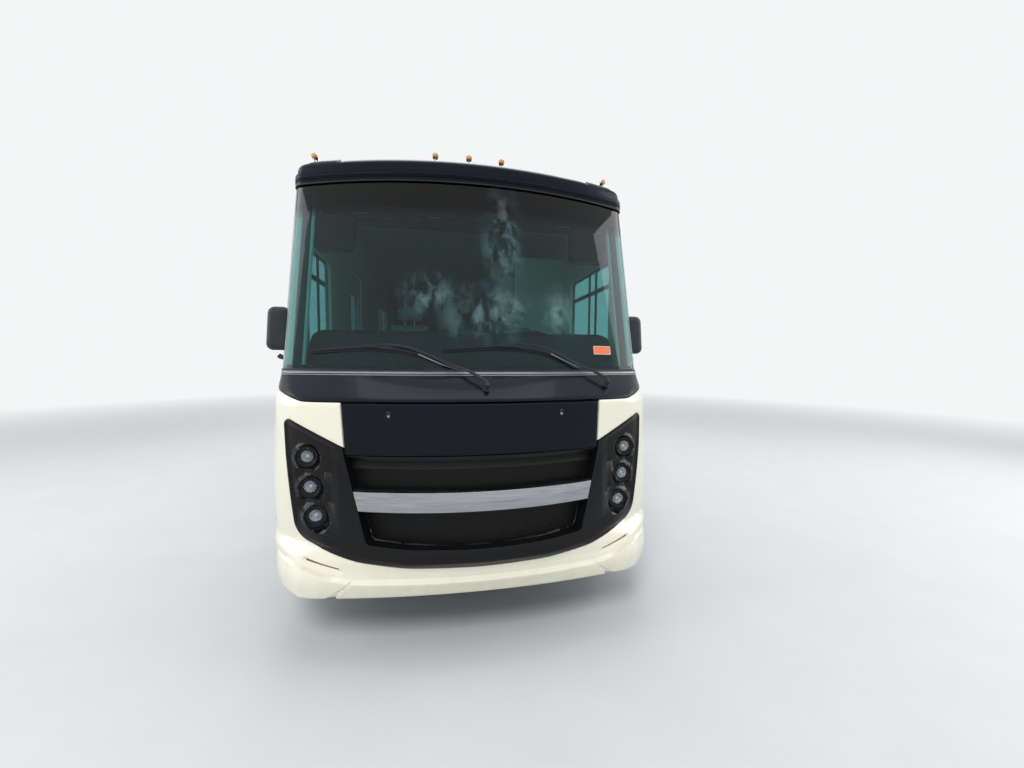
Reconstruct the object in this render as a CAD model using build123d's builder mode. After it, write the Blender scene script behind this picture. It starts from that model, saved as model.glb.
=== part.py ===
"""Class A motorhome on a rail chassis, in millimetres.

X runs to the vehicle's left side, Y runs back from the nose, Z up from the ground.
The origin is on the ground under the middle of the vehicle.
"""

from build123d import *
import math
import os

os.makedirs("parts", exist_ok=True)

# Overall sizes
overall_length = 9500
half_width = 1290
nose_y = -overall_length / 2
tail_y = overall_length / 2
front_axle_set_back = 1200
wheelbase = 5283
front_axle_y = nose_y + front_axle_set_back
rear_axle_y = front_axle_y + wheelbase

# Shell and walls
cap_skin = 12
glass_thickness = 8
wall_thickness = 50
wall_inside = half_width - wall_thickness
skirt_bottom = 400
wall_top = 3200
roof_edge = 3260
roof_shoulder = 3310
roof_crown = 3340
shoulder_inset = 50
shoulder_x = half_width - shoulder_inset
rear_reach = 130
rear_face_y = tail_y - rear_reach
rear_corner = 110
rear_leg = 300

# Floor and basement
deck_bottom = 1040
deck_top = 1120
rail_x = 430
rail_flange = 70
rail_height = 230
rail_wall = 8
rail_top = 790
rail_bottom = rail_top - rail_height
rail_start_y = nose_y + 300
rail_end_y = rear_face_y - wall_thickness

# Wheels
tyre_radius = 420
tyre_width = 248
bead_radius = 250
rim_width = 190
wheel_centre_z = tyre_radius
kingpin_x = 890
front_track_x = 1010
dual_inner_x = 800
dual_outer_x = 1080
running_gap = 0.3
arch_half_length = 500
arch_top = 985
arch_corner = 210

# Panel gaps
panel_gap = 6
door_gap = 6

# Lower edge of the grille, where the front reaches farthest
grille_sill_z = 612
surround_depth = 4

# Front sections: height, set-back of the nose, front radius, corner radius, half width, side seam
bumper_sections = [
    (354, 88, 6000, 450, half_width, 705),
    (438, 28, 4260, 428, half_width, 705),
    (448, 23, 4060, 425, half_width, 705),
    (464, 42, 3720, 421, half_width, 705),
    (500, 40, 3200, 415, half_width, 705),
]
mask_sections = [
    (500, 40, 3200, 415, half_width, 705),
    (grille_sill_z, -surround_depth, 1900, 350, half_width, 705),
    (1150, 87, 2700, 380, half_width, 705),
    (1455, 136, 2900, 400, half_width, 705),
    (1640, 412, 3200, 120, half_width, 770),
]
windshield_sections = [
    (1640, 412, 3200, 120, half_width, 770),
    (2990, 759, 3200, 120, half_width, 1115),
]
brow_sections = [
    (2990, 745, 3200, 120, half_width, 1115),
    (3050, 742, 3200, 120, half_width, 1180),
    (3140, 765, 3200, 130, half_width, 1270),
    (3200, 800, 3200, 150, half_width, 1400),
    (3262, 880, 3200, 160, half_width - 4, 1400),
    (roof_shoulder, 1010, 3200, 160, half_width - shoulder_inset, 1400),
]
cap_seam = mask_sections[0][5]
brow_seam = brow_sections[-1][5]

# Front outlines on the X-Z plane, right half, as x and z
hood_top_x = 795
hood_bottom_x = 766
hood_top_z = 1455
hood_bottom_z = 1150
hood_sag = 8
grille_low_x = 634
grille_low_z = 658
grille_smile_x = 380
grille_smile_rise = 14
mesh_overlap = 14
bar_low_z = 862
bar_high_z = 967
smile = [(0, 525), (470, 540), (690, 567), (910, 612)]
surround_corner = (1082, 640)
surround_apex = (1162, 1364)
surround_inner_z = 1190
paint_level_z = 1455
paint_rise_x = 1036
paint_side_x = half_width - 28
paint_side_z = 1517
paint_side_rise = 5
beyond_side = half_width + 60
above_mask = 2000
lamp_places = [(1004, 1131), (986, 951), (956, 778)]
lamp_radius = 62
bowl_edge = 8
bowl_height = 90
bowl_wall = 4
slit_inner = (800, 512)
slit_outer = (998, 552)
slit_height = 14
scoop_points = [(712, 481), (795, 521), (998, 562), (1040, 566), (987, 521)]
scoop_depth = 8
lip_notch = [(705, 466), (850, 348)]
notch_width = 12
mesh_set_back = 62
mesh_thickness = 5
mesh_cell = 40
mesh_pitch = 80
throat_wall = 8
bar_bevel_z = 950
bar_proud = 10


# Plane just ahead of the nose, and how far an outline drawn on it is run back
front_plane = Plane.XZ.offset(-nose_y + 100)
front_run = -1600
standing = (Align.CENTER, Align.CENTER, Align.MIN)


def nose_outline(height, set_back, front_radius, corner_radius, reach_x, seam):
    """Plan outline of the front at one height: side, corner arc, front arc, corner arc, side."""
    corner_x = reach_x - corner_radius
    front_centre_y = nose_y + set_back + front_radius
    drop = math.sqrt((front_radius - corner_radius) ** 2 - corner_x**2)
    corner_y = front_centre_y - drop
    grow = front_radius / (front_radius - corner_radius)
    tangent_x = corner_x * grow
    tangent_y = front_centre_y - drop * grow
    turn = math.atan2(drop, corner_x)
    mid_x = corner_x + corner_radius * math.cos(turn / 2)
    mid_y = corner_y - corner_radius * math.sin(turn / 2)
    seam_y = nose_y + seam
    with BuildSketch(Plane.XY.offset(height)) as outline:
        with BuildLine():
            Line((reach_x, seam_y), (reach_x, corner_y))
            ThreePointArc((reach_x, corner_y), (mid_x, mid_y), (tangent_x, tangent_y))
            ThreePointArc((tangent_x, tangent_y), (0, nose_y + set_back), (-tangent_x, tangent_y))
            ThreePointArc((-tangent_x, tangent_y), (-mid_x, mid_y), (-reach_x, corner_y))
            Line((-reach_x, corner_y), (-reach_x, seam_y))
            Line((-reach_x, seam_y), (reach_x, seam_y))
        make_face()
    return outline.sketch


def inset_section(section, depth):
    """The same section moved inwards by a depth, with its seam kept."""
    height, set_back, front_radius, corner_radius, reach_x, seam = section
    return (height, set_back + depth, front_radius - depth, corner_radius - depth, reach_x - depth, seam)


def nose_solid(sections, depth):
    """Solid of the front up to the skin at a depth."""
    return loft(
        [nose_outline(*inset_section(section, depth)) for section in sections],
        ruled=True,
        mode=Mode.PRIVATE,
    )


def nose_shell(sections, outer_depth, inner_depth):
    """Skin of the front between two depths, open at the back, top and bottom."""
    return nose_solid(sections, outer_depth) - nose_solid(sections, inner_depth)


def section_at(sections, height):
    """Section of the front at any height between two rows of its table."""
    for low, high in zip(sections, sections[1:]):
        if low[0] <= height <= high[0]:
            share = (height - low[0]) / (high[0] - low[0])
            return tuple(a + (b - a) * share for a, b in zip(low, high))


def skin_point(sections, x, z, stand_off):
    """Point of the front's skin at an X and Z, moved forwards by a stand-off."""
    line = Edge.make_line((x, nose_y - 500, z), (x, nose_y + 1500, z))
    hits = (nose_solid(sections, 0) & line).vertices()
    return Vector(x, min(corner.Y for corner in hits) - stand_off, z)


def strip_prism(start, end, width):
    """A straight strip seen from the front, run through the nose."""
    middle = ((start[0] + end[0]) / 2, (start[1] + end[1]) / 2)
    run = math.hypot(end[0] - start[0], end[1] - start[1])
    tilt = math.degrees(math.atan2(end[1] - start[1], end[0] - start[0]))
    with BuildSketch(front_plane) as strip:
        with Locations(Location(middle, tilt)):
            SlotOverall(run, width)
    return extrude(strip.sketch, amount=front_run, mode=Mode.PRIVATE)


def front_prism(points, grow=0.0):
    """A mirrored outline seen from the front, run through the whole nose."""
    mirrored = points + [(-x, z) for x, z in reversed(points) if x > 0]
    with BuildSketch(front_plane) as outline:
        with BuildLine():
            Polyline(*mirrored, close=True)
        make_face()
        if grow:
            offset(amount=grow, kind=Kind.INTERSECTION)
    return extrude(outline.sketch, amount=front_run, mode=Mode.PRIVATE)


def side_prism(points):
    """An outline of the right half and its mirror image, each run through the nose."""
    with BuildSketch(front_plane) as outline:
        with BuildLine():
            Polyline(*points, close=True)
        make_face()
        mirror(about=Plane.YZ)
    return extrude(outline.sketch, amount=front_run, mode=Mode.PRIVATE)


def block(y_low, y_high, z_low, z_high, x_low, x_high, mode=Mode.ADD):
    """Adds to the part being built a block between six faces."""
    with Locations(((x_low + x_high) / 2, (y_low + y_high) / 2, (z_low + z_high) / 2)):
        Box(x_high - x_low, y_high - y_low, z_high - z_low, mode=mode)


# Outlines of the front
hood_points = [
    (0, hood_top_z),
    (hood_top_x, hood_top_z),
    (hood_bottom_x, hood_bottom_z),
    (0, hood_bottom_z - hood_sag),
]
surround_points = (
    [(0, surround_inner_z)]
    + [(hood_bottom_x, surround_inner_z), surround_apex, surround_corner]
    + list(reversed(smile))
)
grille_points = [
    (0, hood_bottom_z),
    (hood_bottom_x, hood_bottom_z),
    (grille_low_x, grille_low_z),
    (grille_smile_x, grille_sill_z + grille_smile_rise),
    (0, grille_sill_z),
]
above_paint_points = [
    (0, paint_level_z),
    (paint_rise_x, paint_level_z),
    (paint_side_x, paint_side_z),
    (beyond_side, paint_side_z + paint_side_rise),
    (beyond_side, above_mask),
    (0, above_mask),
]

hood_cut = front_prism(hood_points, panel_gap)
hood_form = front_prism(hood_points)
surround_cut = front_prism(surround_points)
surround_form = front_prism(surround_points, -running_gap)
grille_cut = front_prism(grille_points)
grille_form = front_prism(grille_points, mesh_overlap)
above_paint = front_prism(above_paint_points)
lamp_rows = [(side * x, z) for x, z in lamp_places for side in (-1, 1)]
throat_form = front_prism(grille_points, throat_wall) - grille_cut
bumper_notches = [
    strip_prism((side * lip_notch[0][0], lip_notch[0][1]), (side * lip_notch[1][0], lip_notch[1][1]), notch_width)
    for side in (-1, 1)
]
scoop_form = side_prism(scoop_points)


def lamp_plane(x, z):
    """Plane of one lamp's face: level with the skin at the lamp's outer rim, looking forwards."""
    rim_x = abs(x) + lamp_radius
    face_y = skin_point(mask_sections, rim_x, z, 0).Y + surround_depth
    return Plane(origin=(x, face_y, z), x_dir=(1, 0, 0), z_dir=(0, -1, 0))


lamp_planes = [lamp_plane(x, z) for x, z in lamp_rows]


def bowl_cone(plane, grow):
    """Dish in front of one lamp that widens forwards."""
    low_radius = lamp_radius + bowl_edge + grow
    with BuildPart(plane) as dish:
        Cone(low_radius, low_radius + bowl_height / 2, bowl_height, align=standing)
    return dish.part


def slit_prism(grow):
    """The slanted marker slits, one on each side."""
    middle_x = (slit_inner[0] + slit_outer[0]) / 2
    middle_z = (slit_inner[1] + slit_outer[1]) / 2
    run = math.hypot(slit_outer[0] - slit_inner[0], slit_outer[1] - slit_inner[1])
    tilt = math.degrees(math.atan2(slit_outer[1] - slit_inner[1], slit_outer[0] - slit_inner[0]))
    with BuildSketch(front_plane) as slits:
        with Locations(Location((middle_x, middle_z), tilt)):
            RectangleRounded(run + grow, slit_height + grow, 6)
        mirror(about=Plane.YZ)
    return extrude(slits.sketch, amount=front_run, mode=Mode.PRIVATE)


# Bumper of the front cap, with its lip
with BuildPart() as front_bumper:
    add(nose_shell(bumper_sections, 0, cap_skin) - (nose_shell(bumper_sections, -5, scoop_depth) & scoop_form))
    for notch in bumper_notches:
        add(nose_shell(bumper_sections, -5, scoop_depth) & notch, mode=Mode.SUBTRACT)

# Painted mask of the front cap, up to the paint line
with BuildPart() as front_mask:
    add(nose_shell(mask_sections, 0, cap_skin) - above_paint - hood_cut - surround_cut - slit_prism(0.6))
    add(nose_shell(mask_sections[:2], -5, scoop_depth) & scoop_form, mode=Mode.SUBTRACT)

# Dark cowl between the mask and the windshield, with the two lugs that hold the hood
hood_lug_x = 500
hood_lug_width = 60
hood_lug = Box(hood_lug_width, 1000, panel_gap + 4 - running_gap, align=standing)
hood_lugs = [Pos(side * hood_lug_x, nose_y + 300, hood_top_z + running_gap) * hood_lug for side in (-1, 1)]
with BuildPart() as cowl:
    add((nose_shell(mask_sections, 0, cap_skin) & above_paint) - hood_cut)
    for lug in hood_lugs:
        add(nose_shell(mask_sections, 2, cap_skin) & lug)

# Hood panel that lifts from the front
with BuildPart() as hood_panel:
    add(nose_shell(mask_sections, 0, cap_skin) & hood_form)

# Gloss surround of the grille and lamps, set a little into the mask, with a dish round each lamp
cup_radius = lamp_radius + bowl_edge + bowl_wall
with BuildPart() as lamp_surround:
    add((nose_shell(mask_sections, surround_depth, surround_depth + cap_skin) & surround_form) - hood_cut - grille_cut)
    for plane in lamp_planes:
        add(bowl_cone(plane, 0), mode=Mode.SUBTRACT)
        add((bowl_cone(plane, bowl_wall) - bowl_cone(plane, 0)) & nose_solid(mask_sections, surround_depth))
        with Locations(plane.location):
            with Locations((0, 0, -bowl_wall)):
                Cylinder(cup_radius, bowl_wall + 0.01, align=standing)
            Cylinder(lamp_radius, 200, mode=Mode.SUBTRACT)
    add(nose_shell(mask_sections, surround_depth + cap_skin - 1, mesh_set_back - running_gap) & throat_form)
    add(hood_cut, mode=Mode.SUBTRACT)

# Mesh set back behind the grille opening, with rows of six-sided holes
mesh_columns = int(2 * grille_low_x / mesh_pitch)
mesh_rows = int((hood_bottom_z - grille_low_z) / (mesh_pitch * 0.866)) - 1
mesh_middle_z = (hood_bottom_z + grille_low_z) / 2
with BuildSketch(front_plane) as mesh_holes:
    with Locations((0, mesh_middle_z)):
        with HexLocations(mesh_pitch / 2, mesh_columns, mesh_rows):
            RegularPolygon(mesh_cell, 6)
with BuildPart() as grille_mesh:
    add(nose_shell(mask_sections, mesh_set_back, mesh_set_back + mesh_thickness) & grille_form)
    add(extrude(mesh_holes.sketch, amount=front_run, mode=Mode.PRIVATE), mode=Mode.SUBTRACT)

# Bright bar across the grille, with a bevel along its top
bar_sections = [
    inset_section(section_at(mask_sections, bar_low_z), -bar_proud),
    inset_section(section_at(mask_sections, bar_bevel_z), -bar_proud),
    inset_section(section_at(mask_sections, bar_high_z), bar_high_z - bar_bevel_z),
]
bar_window = front_prism(grille_points, -running_gap)
with BuildPart() as grille_bar:
    add((nose_solid(bar_sections, 0) - nose_solid(mask_sections, mesh_set_back / 2)) & bar_window)

# Six round lamps in the surround, each a drum with a domed lens
lamp_drum = 30
lamp_dome = 14
lamp_reach = lamp_radius - running_gap
dome_radius = (lamp_reach**2 + lamp_dome**2) / (2 * lamp_dome)
dome_half_turn = math.asin(lamp_reach / dome_radius) / 2
dome_middle = (
    dome_radius * math.sin(dome_half_turn),
    dome_radius - lamp_dome - dome_radius * math.cos(dome_half_turn),
)
with BuildPart() as headlamps:
    for plane in lamp_planes:
        with BuildSketch(Plane(origin=plane.origin, x_dir=(1, 0, 0), z_dir=(0, 0, 1))):
            with BuildLine():
                Polyline((0, -lamp_dome), (0, lamp_drum), (lamp_reach, lamp_drum), (lamp_reach, 0))
                ThreePointArc((lamp_reach, 0), dome_middle, (0, -lamp_dome))
            make_face()
        revolve(axis=Axis(plane.origin, (0, 1, 0)))

# Windshield, one bent sheet
with BuildPart() as windshield:
    add(nose_shell(windshield_sections, 2, 2 + glass_thickness))

# Brow over the windshield, closed on top
brow_roof = brow_sections[:-1] + [(roof_shoulder - cap_skin,) + brow_sections[-1][1:]]
crown_start_y = nose_y + brow_sections[-1][1] + 20
crown_start_z = roof_shoulder - 1
with BuildPart() as brow:
    add(nose_solid(brow_sections, 0) - nose_solid(brow_roof, cap_skin))
    with BuildSketch(Plane.XZ.offset(-(nose_y + brow_seam))) as crown_outline:
        with BuildLine():
            ThreePointArc((-shoulder_x, roof_shoulder), (0, roof_crown), (shoulder_x, roof_shoulder))
            Line((shoulder_x, roof_shoulder), (-shoulder_x, roof_shoulder))
        make_face()
    crown = extrude(crown_outline.sketch, amount=brow_seam, mode=Mode.PRIVATE)
    with BuildSketch(Plane.YZ.offset(-half_width)) as slope_outline:
        with BuildLine():
            Polyline(
                (crown_start_y, crown_start_z),
                (nose_y + brow_seam, roof_crown),
                (nose_y + brow_seam, crown_start_z),
                close=True,
            )
        make_face()
    slope = extrude(slope_outline.sketch, amount=2 * half_width, mode=Mode.PRIVATE)
    top_form = extrude(nose_outline(*brow_sections[-1]), amount=50, mode=Mode.PRIVATE)
    add(crown & slope & top_form)

# Places behind the rear axle, from the axle or from the tail
rear_bay_front = front_axle_set_back + wheelbase + 767
rear_bay_back = overall_length - 1150
rear_window_front = overall_length - 2000
rear_window_back = overall_length - 1200
slideout_opening_top = wall_top - 240

# Side walls, with each opening named: kind, front, back, bottom, top
left_openings = [
    ("window", 1150, 2210, 1740, 2600),
    ("slideout", 2500, 5300, deck_top - 5, slideout_opening_top),
    ("baggage", 3400, 4700, 430, 985),
    ("baggage", rear_bay_front, rear_bay_back, 430, 985),
    ("window", rear_window_front, rear_window_back, 2050, 2600),
]
right_openings = [
    ("window", 1150, 1760, 1740, 2600),
    ("door", 2450, 3110, 620, 2720),
    ("step", 2490, 3070, 518, 572),
    ("window", 4400, 5300, 2000, 2600),
    ("baggage", 3700, 5100, 430, 985),
    ("baggage", rear_bay_front, rear_bay_back, 430, 985),
    ("window", rear_window_front, rear_window_back, 2050, 2600),
]
pane_inset = 15
opening_corner = {"window": 60, "slideout": 20, "baggage": 30, "door": 60, "step": 8}
seam_points = [
    (nose_y + cap_seam, skirt_bottom),
    (nose_y + cap_seam, mask_sections[-2][0]),
    (nose_y + windshield_sections[0][5], windshield_sections[0][0]),
    (nose_y + windshield_sections[1][5], windshield_sections[1][0]),
    (nose_y + brow_sections[1][5], brow_sections[1][0]),
    (nose_y + brow_sections[2][5], brow_sections[2][0]),
    (nose_y + brow_seam, wall_top),
]
wall_back_y = rear_face_y - rear_leg


def window_face(x, opening, corner, clearance=0.0):
    """Rounded outline on a plane across X, between front, back, bottom and top."""
    front, back, bottom, top = opening
    with BuildSketch(Plane.YZ.offset(x)) as outline:
        with Locations((nose_y + (front + back) / 2, (bottom + top) / 2)):
            RectangleRounded(back - front - 2 * clearance, top - bottom - 2 * clearance, corner)
    return outline.sketch


def side_wall(side, openings):
    """One side wall, from the cap's seam to the rear cap, with its openings cut."""
    with BuildPart() as wall:
        with BuildSketch(Plane.YZ.offset(half_width if side > 0 else -wall_inside)):
            with BuildLine():
                Polyline(*seam_points, (wall_back_y, wall_top), (wall_back_y, skirt_bottom), close=True)
            make_face()
            for kind, front, back, bottom, top in openings:
                with Locations((nose_y + (front + back) / 2, (bottom + top) / 2)):
                    RectangleRounded(back - front, top - bottom, opening_corner[kind], mode=Mode.SUBTRACT)
            for axle_y in (front_axle_y, rear_axle_y):
                with Locations((axle_y, skirt_bottom)):
                    RectangleRounded(
                        2 * arch_half_length, 2 * (arch_top - skirt_bottom), arch_corner, mode=Mode.SUBTRACT
                    )
        extrude(amount=-wall_thickness)
    return wall.part


with BuildPart() as sidewall_left:
    add(side_wall(1, left_openings))
with BuildPart() as sidewall_right:
    add(side_wall(-1, right_openings))


def panes(side, openings):
    """Glass panes that fill the windows of one wall."""
    with BuildPart() as glass:
        for kind, *opening in openings:
            if kind == "window":
                pane = window_face(side * (half_width - pane_inset), opening, opening_corner[kind], running_gap)
                extrude(pane, amount=-side * glass_thickness)
    return glass.part


with BuildPart() as side_glass:
    add(panes(1, left_openings))
    add(panes(-1, right_openings))

# Receiver tube for a trailer hitch
receiver_outer = 63.5
receiver_inner = 51
receiver_z = 380
receiver_length = 260
pin_hole_radius = 8.15


def receiver_passage():
    """Cuts the way for the receiver tube out of the part being built."""
    reach = receiver_outer / 2 + 6
    block(tail_y - 400, tail_y, receiver_z - reach, receiver_z + reach, -reach, reach, mode=Mode.SUBTRACT)


# Rear cap, wrapped round both corners
with BuildPart() as rear_wall:
    with BuildSketch(Plane.XY.offset(skirt_bottom)):
        with BuildLine():
            Polyline(
                (-half_width, wall_back_y),
                (-half_width, rear_face_y),
                (half_width, rear_face_y),
                (half_width, wall_back_y),
                close=True,
            )
        make_face()
        fillet(vertices().group_by(Axis.Y)[-1], radius=rear_corner)
        with Locations((0, wall_back_y + (rear_leg - wall_thickness) / 2)):
            Rectangle(2 * wall_inside, rear_leg - wall_thickness, mode=Mode.SUBTRACT)
    extrude(amount=wall_top - skirt_bottom)
    receiver_passage()

# Crowned roof, trimmed to the rear corners
with BuildPart() as roof:
    with BuildSketch(Plane.XZ.offset(-(nose_y + brow_seam))):
        with BuildLine():
            Line((-half_width, wall_top), (half_width, wall_top))
            Line((half_width, wall_top), (half_width, roof_edge))
            ThreePointArc(
                (half_width, roof_edge),
                (half_width - shoulder_inset * 0.29, roof_shoulder - shoulder_inset * 0.29),
                (shoulder_x, roof_shoulder),
            )
            ThreePointArc((shoulder_x, roof_shoulder), (0, roof_crown), (-shoulder_x, roof_shoulder))
            ThreePointArc(
                (-shoulder_x, roof_shoulder),
                (shoulder_inset * 0.29 - half_width, roof_shoulder - shoulder_inset * 0.29),
                (-half_width, roof_edge),
            )
            Line((-half_width, roof_edge), (-half_width, wall_top))
        make_face()
    extrude(amount=-(rear_face_y - nose_y - brow_seam))
    with BuildSketch(Plane.XY.offset(wall_top)) as roof_plan:
        with BuildLine():
            Polyline(
                (-half_width, nose_y + brow_seam),
                (-half_width, rear_face_y),
                (half_width, rear_face_y),
                (half_width, nose_y + brow_seam),
                close=True,
            )
        make_face()
        fillet(vertices().group_by(Axis.Y)[-1], radius=rear_corner)
    extrude(amount=roof_crown - wall_top + 10, mode=Mode.INTERSECT)

# Floor deck with the hole of the entry steps
well_front = nose_y + 2450
well_back = nose_y + 3110
well_inside = -760
sheet = 15
with BuildPart() as floor:
    block(nose_y + cap_seam, wall_back_y, deck_bottom, deck_top, -wall_inside, wall_inside)
    block(wall_back_y, rear_face_y - wall_thickness, deck_bottom, deck_top, -wall_inside, wall_inside)
    block(well_front, well_back, deck_bottom - 1, deck_top + 1, -wall_inside - 1, well_inside, mode=Mode.SUBTRACT)

# Bearers between the rails and the deck, as set-backs from the nose
bearer_places = [1850, 2700, 3500, 4600, 5700, 7200, rear_window_back]
bearer_half = 30
bearer_reach = 480
with BuildPart() as floor_bearers:
    for place in bearer_places:
        middle = nose_y + place
        block(middle - bearer_half, middle + bearer_half, rail_top, deck_bottom, -bearer_reach, bearer_reach)

# Wheel housings under the deck, each an open box round its wheels
housing_inside = 585
housing_half = arch_half_length - 5
housing_low = 500
inner_wall_low = 620
with BuildPart() as wheel_housings:
    for axle_y in (front_axle_y, rear_axle_y):
        for side in (-1, 1):
            low, high = sorted((side * housing_inside, side * wall_inside))
            block(axle_y - housing_half, axle_y + housing_half, housing_low, deck_bottom, low, high)
            low, high = sorted((side * (housing_inside + sheet), side * (wall_inside + 1)))
            front, back = axle_y - housing_half + sheet, axle_y + housing_half - sheet
            block(front, back, housing_low - 1, arch_top, low, high, mode=Mode.SUBTRACT)
            low, high = sorted((side * (housing_inside - 1), side * (housing_inside + sheet + 1)))
            block(front, back, housing_low - 1, inner_wall_low, low, high, mode=Mode.SUBTRACT)
            low, high = sorted((side * (housing_inside + sheet), side * (wall_inside - sheet)))
            block(front, back, arch_top + sheet, deck_bottom + 1, low, high, mode=Mode.SUBTRACT)

# Step well under the door, with the guides of the sliding step
well_bottom = 605
tread_top = 850
tread_edge = -1020
step_front, step_back = nose_y + 2500, nose_y + 3060
step_z = 560
step_thickness = 30
guide_inside = -900
with BuildPart() as step_well:
    block(well_front, well_back, well_bottom, well_bottom + sheet, -wall_inside, well_inside)
    block(well_front, well_back, well_bottom, deck_bottom, well_inside, well_inside + sheet)
    block(well_front - sheet, well_front, well_bottom, deck_bottom, -wall_inside, well_inside + sheet)
    block(well_back, well_back + sheet, well_bottom, deck_bottom, -wall_inside, well_inside + sheet)
    block(well_front, well_back, tread_top - 20, tread_top, tread_edge, well_inside)
    block(well_front, well_back, well_bottom + sheet, tread_top - 20, tread_edge, tread_edge + sheet)
    for edge in (step_front - running_gap - 30, step_back + running_gap):
        block(edge, edge + 30, step_z - 50, well_bottom, -wall_inside, guide_inside)

# Luggage bays under the floor: side, front, back
bays = [
    (1, 3400, 4700),
    (1, rear_bay_front, rear_bay_back),
    (-1, 3700, 5100),
    (-1, rear_bay_front, rear_bay_back),
]
bay_inside = 500
with BuildPart() as baggage_bays:
    for side, front, back in bays:
        low, high = sorted((side * bay_inside, side * wall_inside))
        block(nose_y + front - 20, nose_y + back + 20, 415, deck_bottom, low, high)
        low, high = sorted((side * (bay_inside + sheet), side * (wall_inside + 1)))
        block(nose_y + front - 5, nose_y + back + 5, 430, deck_bottom + 1, low, high, mode=Mode.SUBTRACT)

# Rail chassis with cross members and the receiver tube
cross_members = [2450, 3400, 4400, 5400, 7150, overall_length - 800]
with BuildPart() as chassis_frame:
    for side in (-1, 1):
        with BuildSketch(Plane.XZ.offset(-rail_start_y)):
            with Locations((side * rail_x, rail_top - rail_height / 2)):
                Rectangle(rail_flange, rail_height)
            with Locations((side * (rail_x - rail_wall), rail_top - rail_height / 2)):
                Rectangle(rail_flange, rail_height - 2 * rail_wall, mode=Mode.SUBTRACT)
        extrude(amount=-(rail_end_y - rail_start_y))
    inner_web = rail_x + rail_flange / 2 - rail_wall
    flange_inside = rail_x - rail_flange / 2
    for place in cross_members:
        block(nose_y + place - 40, nose_y + place + 40, rail_top - 90, rail_top - rail_wall, -inner_web, inner_web)
    block(rail_start_y, rail_start_y + 60, rail_bottom + 10, rail_bottom + 110, -inner_web, inner_web)
    block(nose_y + 880, nose_y + 960, rail_bottom - 60, rail_bottom + rail_wall, -flange_inside, flange_inside)
    block(rail_end_y - 80, rail_end_y, receiver_z + receiver_outer / 2, rail_bottom + 60, -inner_web, inner_web)
    tube, bore = receiver_outer / 2, receiver_inner / 2
    front, back = tail_y - receiver_length, tail_y
    block(front, back, receiver_z - tube, receiver_z + tube, -tube, tube)
    block(front - 1, back + 1, receiver_z - bore, receiver_z + bore, -bore, bore, mode=Mode.SUBTRACT)
    with BuildSketch(Plane.YZ.offset(-receiver_outer / 2 - 1)):
        with Locations((tail_y - 60, receiver_z)):
            Circle(pin_hole_radius)
    extrude(amount=receiver_outer + 2, mode=Mode.SUBTRACT)

# Engine and gearbox block, and the shaft to the rear axle
shaft_front = (0, nose_y + 2250, 640)
shaft_back = (0, rear_axle_y - 260, wheel_centre_z)
with BuildPart() as driveline:
    block(nose_y + 720, nose_y + 1500, rail_bottom + rail_wall, deck_bottom - 10, -250, 250)
    block(nose_y + 1500, nose_y + 2150, 520, 770, -150, 150)
    shaft_run = Vector(*shaft_back) - Vector(*shaft_front)
    with BuildSketch(Plane(origin=shaft_front, z_dir=shaft_run)):
        Circle(45)
    extrude(amount=shaft_run.length)
    with BuildSketch(Plane.XZ.offset(-(nose_y + 2150))):
        with Locations((0, 640)):
            Circle(70)
    extrude(amount=-105)
    with BuildSketch(Plane.XZ.offset(-(rear_axle_y - 300))):
        with Locations((0, wheel_centre_z)):
            Circle(60)
    extrude(amount=-50)

# Radiator on the front cross member
with BuildPart() as radiator:
    block(nose_y + 300, nose_y + 360, rail_bottom + 110, 1350, -370, 370)

# Fuel tank between the rails
tank_front_y = rear_axle_y + 917
tank_back_y = tail_y - 900
tank_top = rail_top - 30
strap_inset = 230
with BuildPart() as fuel_tank:
    block(tank_front_y, tank_back_y, tank_top - 300, tank_top, -330, 330)
    fillet(fuel_tank.edges().filter_by(Axis.Y), radius=60)
    for middle in (tank_front_y + strap_inset, tank_back_y - strap_inset):
        block(middle - 30, middle + 30, tank_top - 1, rail_top - rail_wall, -inner_web, inner_web)

# Front beam axle with kingpin bosses and leaf springs
boss_radius = 45
boss_bottom = wheel_centre_z - 70
boss_top = wheel_centre_z + 70
kingpin_radius = 25
spring_x = rail_x
spring_half = 35
hanger_half = 40
beam_half = 50
with BuildPart() as front_axle:
    front, back = front_axle_y - 45, front_axle_y + 45
    block(front, back, wheel_centre_z - beam_half, wheel_centre_z + beam_half, -kingpin_x, kingpin_x)
    with BuildSketch(Plane.XY.offset(boss_bottom)):
        with Locations((-kingpin_x, front_axle_y), (kingpin_x, front_axle_y)):
            Circle(boss_radius)
    extrude(amount=boss_top - boss_bottom)
    with BuildSketch(Plane.XY.offset(boss_bottom - 1)):
        with Locations((-kingpin_x, front_axle_y), (kingpin_x, front_axle_y)):
            Circle(kingpin_radius + running_gap)
    extrude(amount=boss_top - boss_bottom + 2, mode=Mode.SUBTRACT)
    for side in (-1, 1):
        low, high = side * spring_x - spring_half, side * spring_x + spring_half
        spring_low, spring_high = wheel_centre_z + beam_half, wheel_centre_z + beam_half + 40
        block(front_axle_y - 640, front_axle_y + 640, spring_low, spring_high, low, high)
        for end in (-600, 600):
            middle = front_axle_y + end
            block(middle - hanger_half, middle + hanger_half, spring_high, rail_bottom, low, high)

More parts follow.
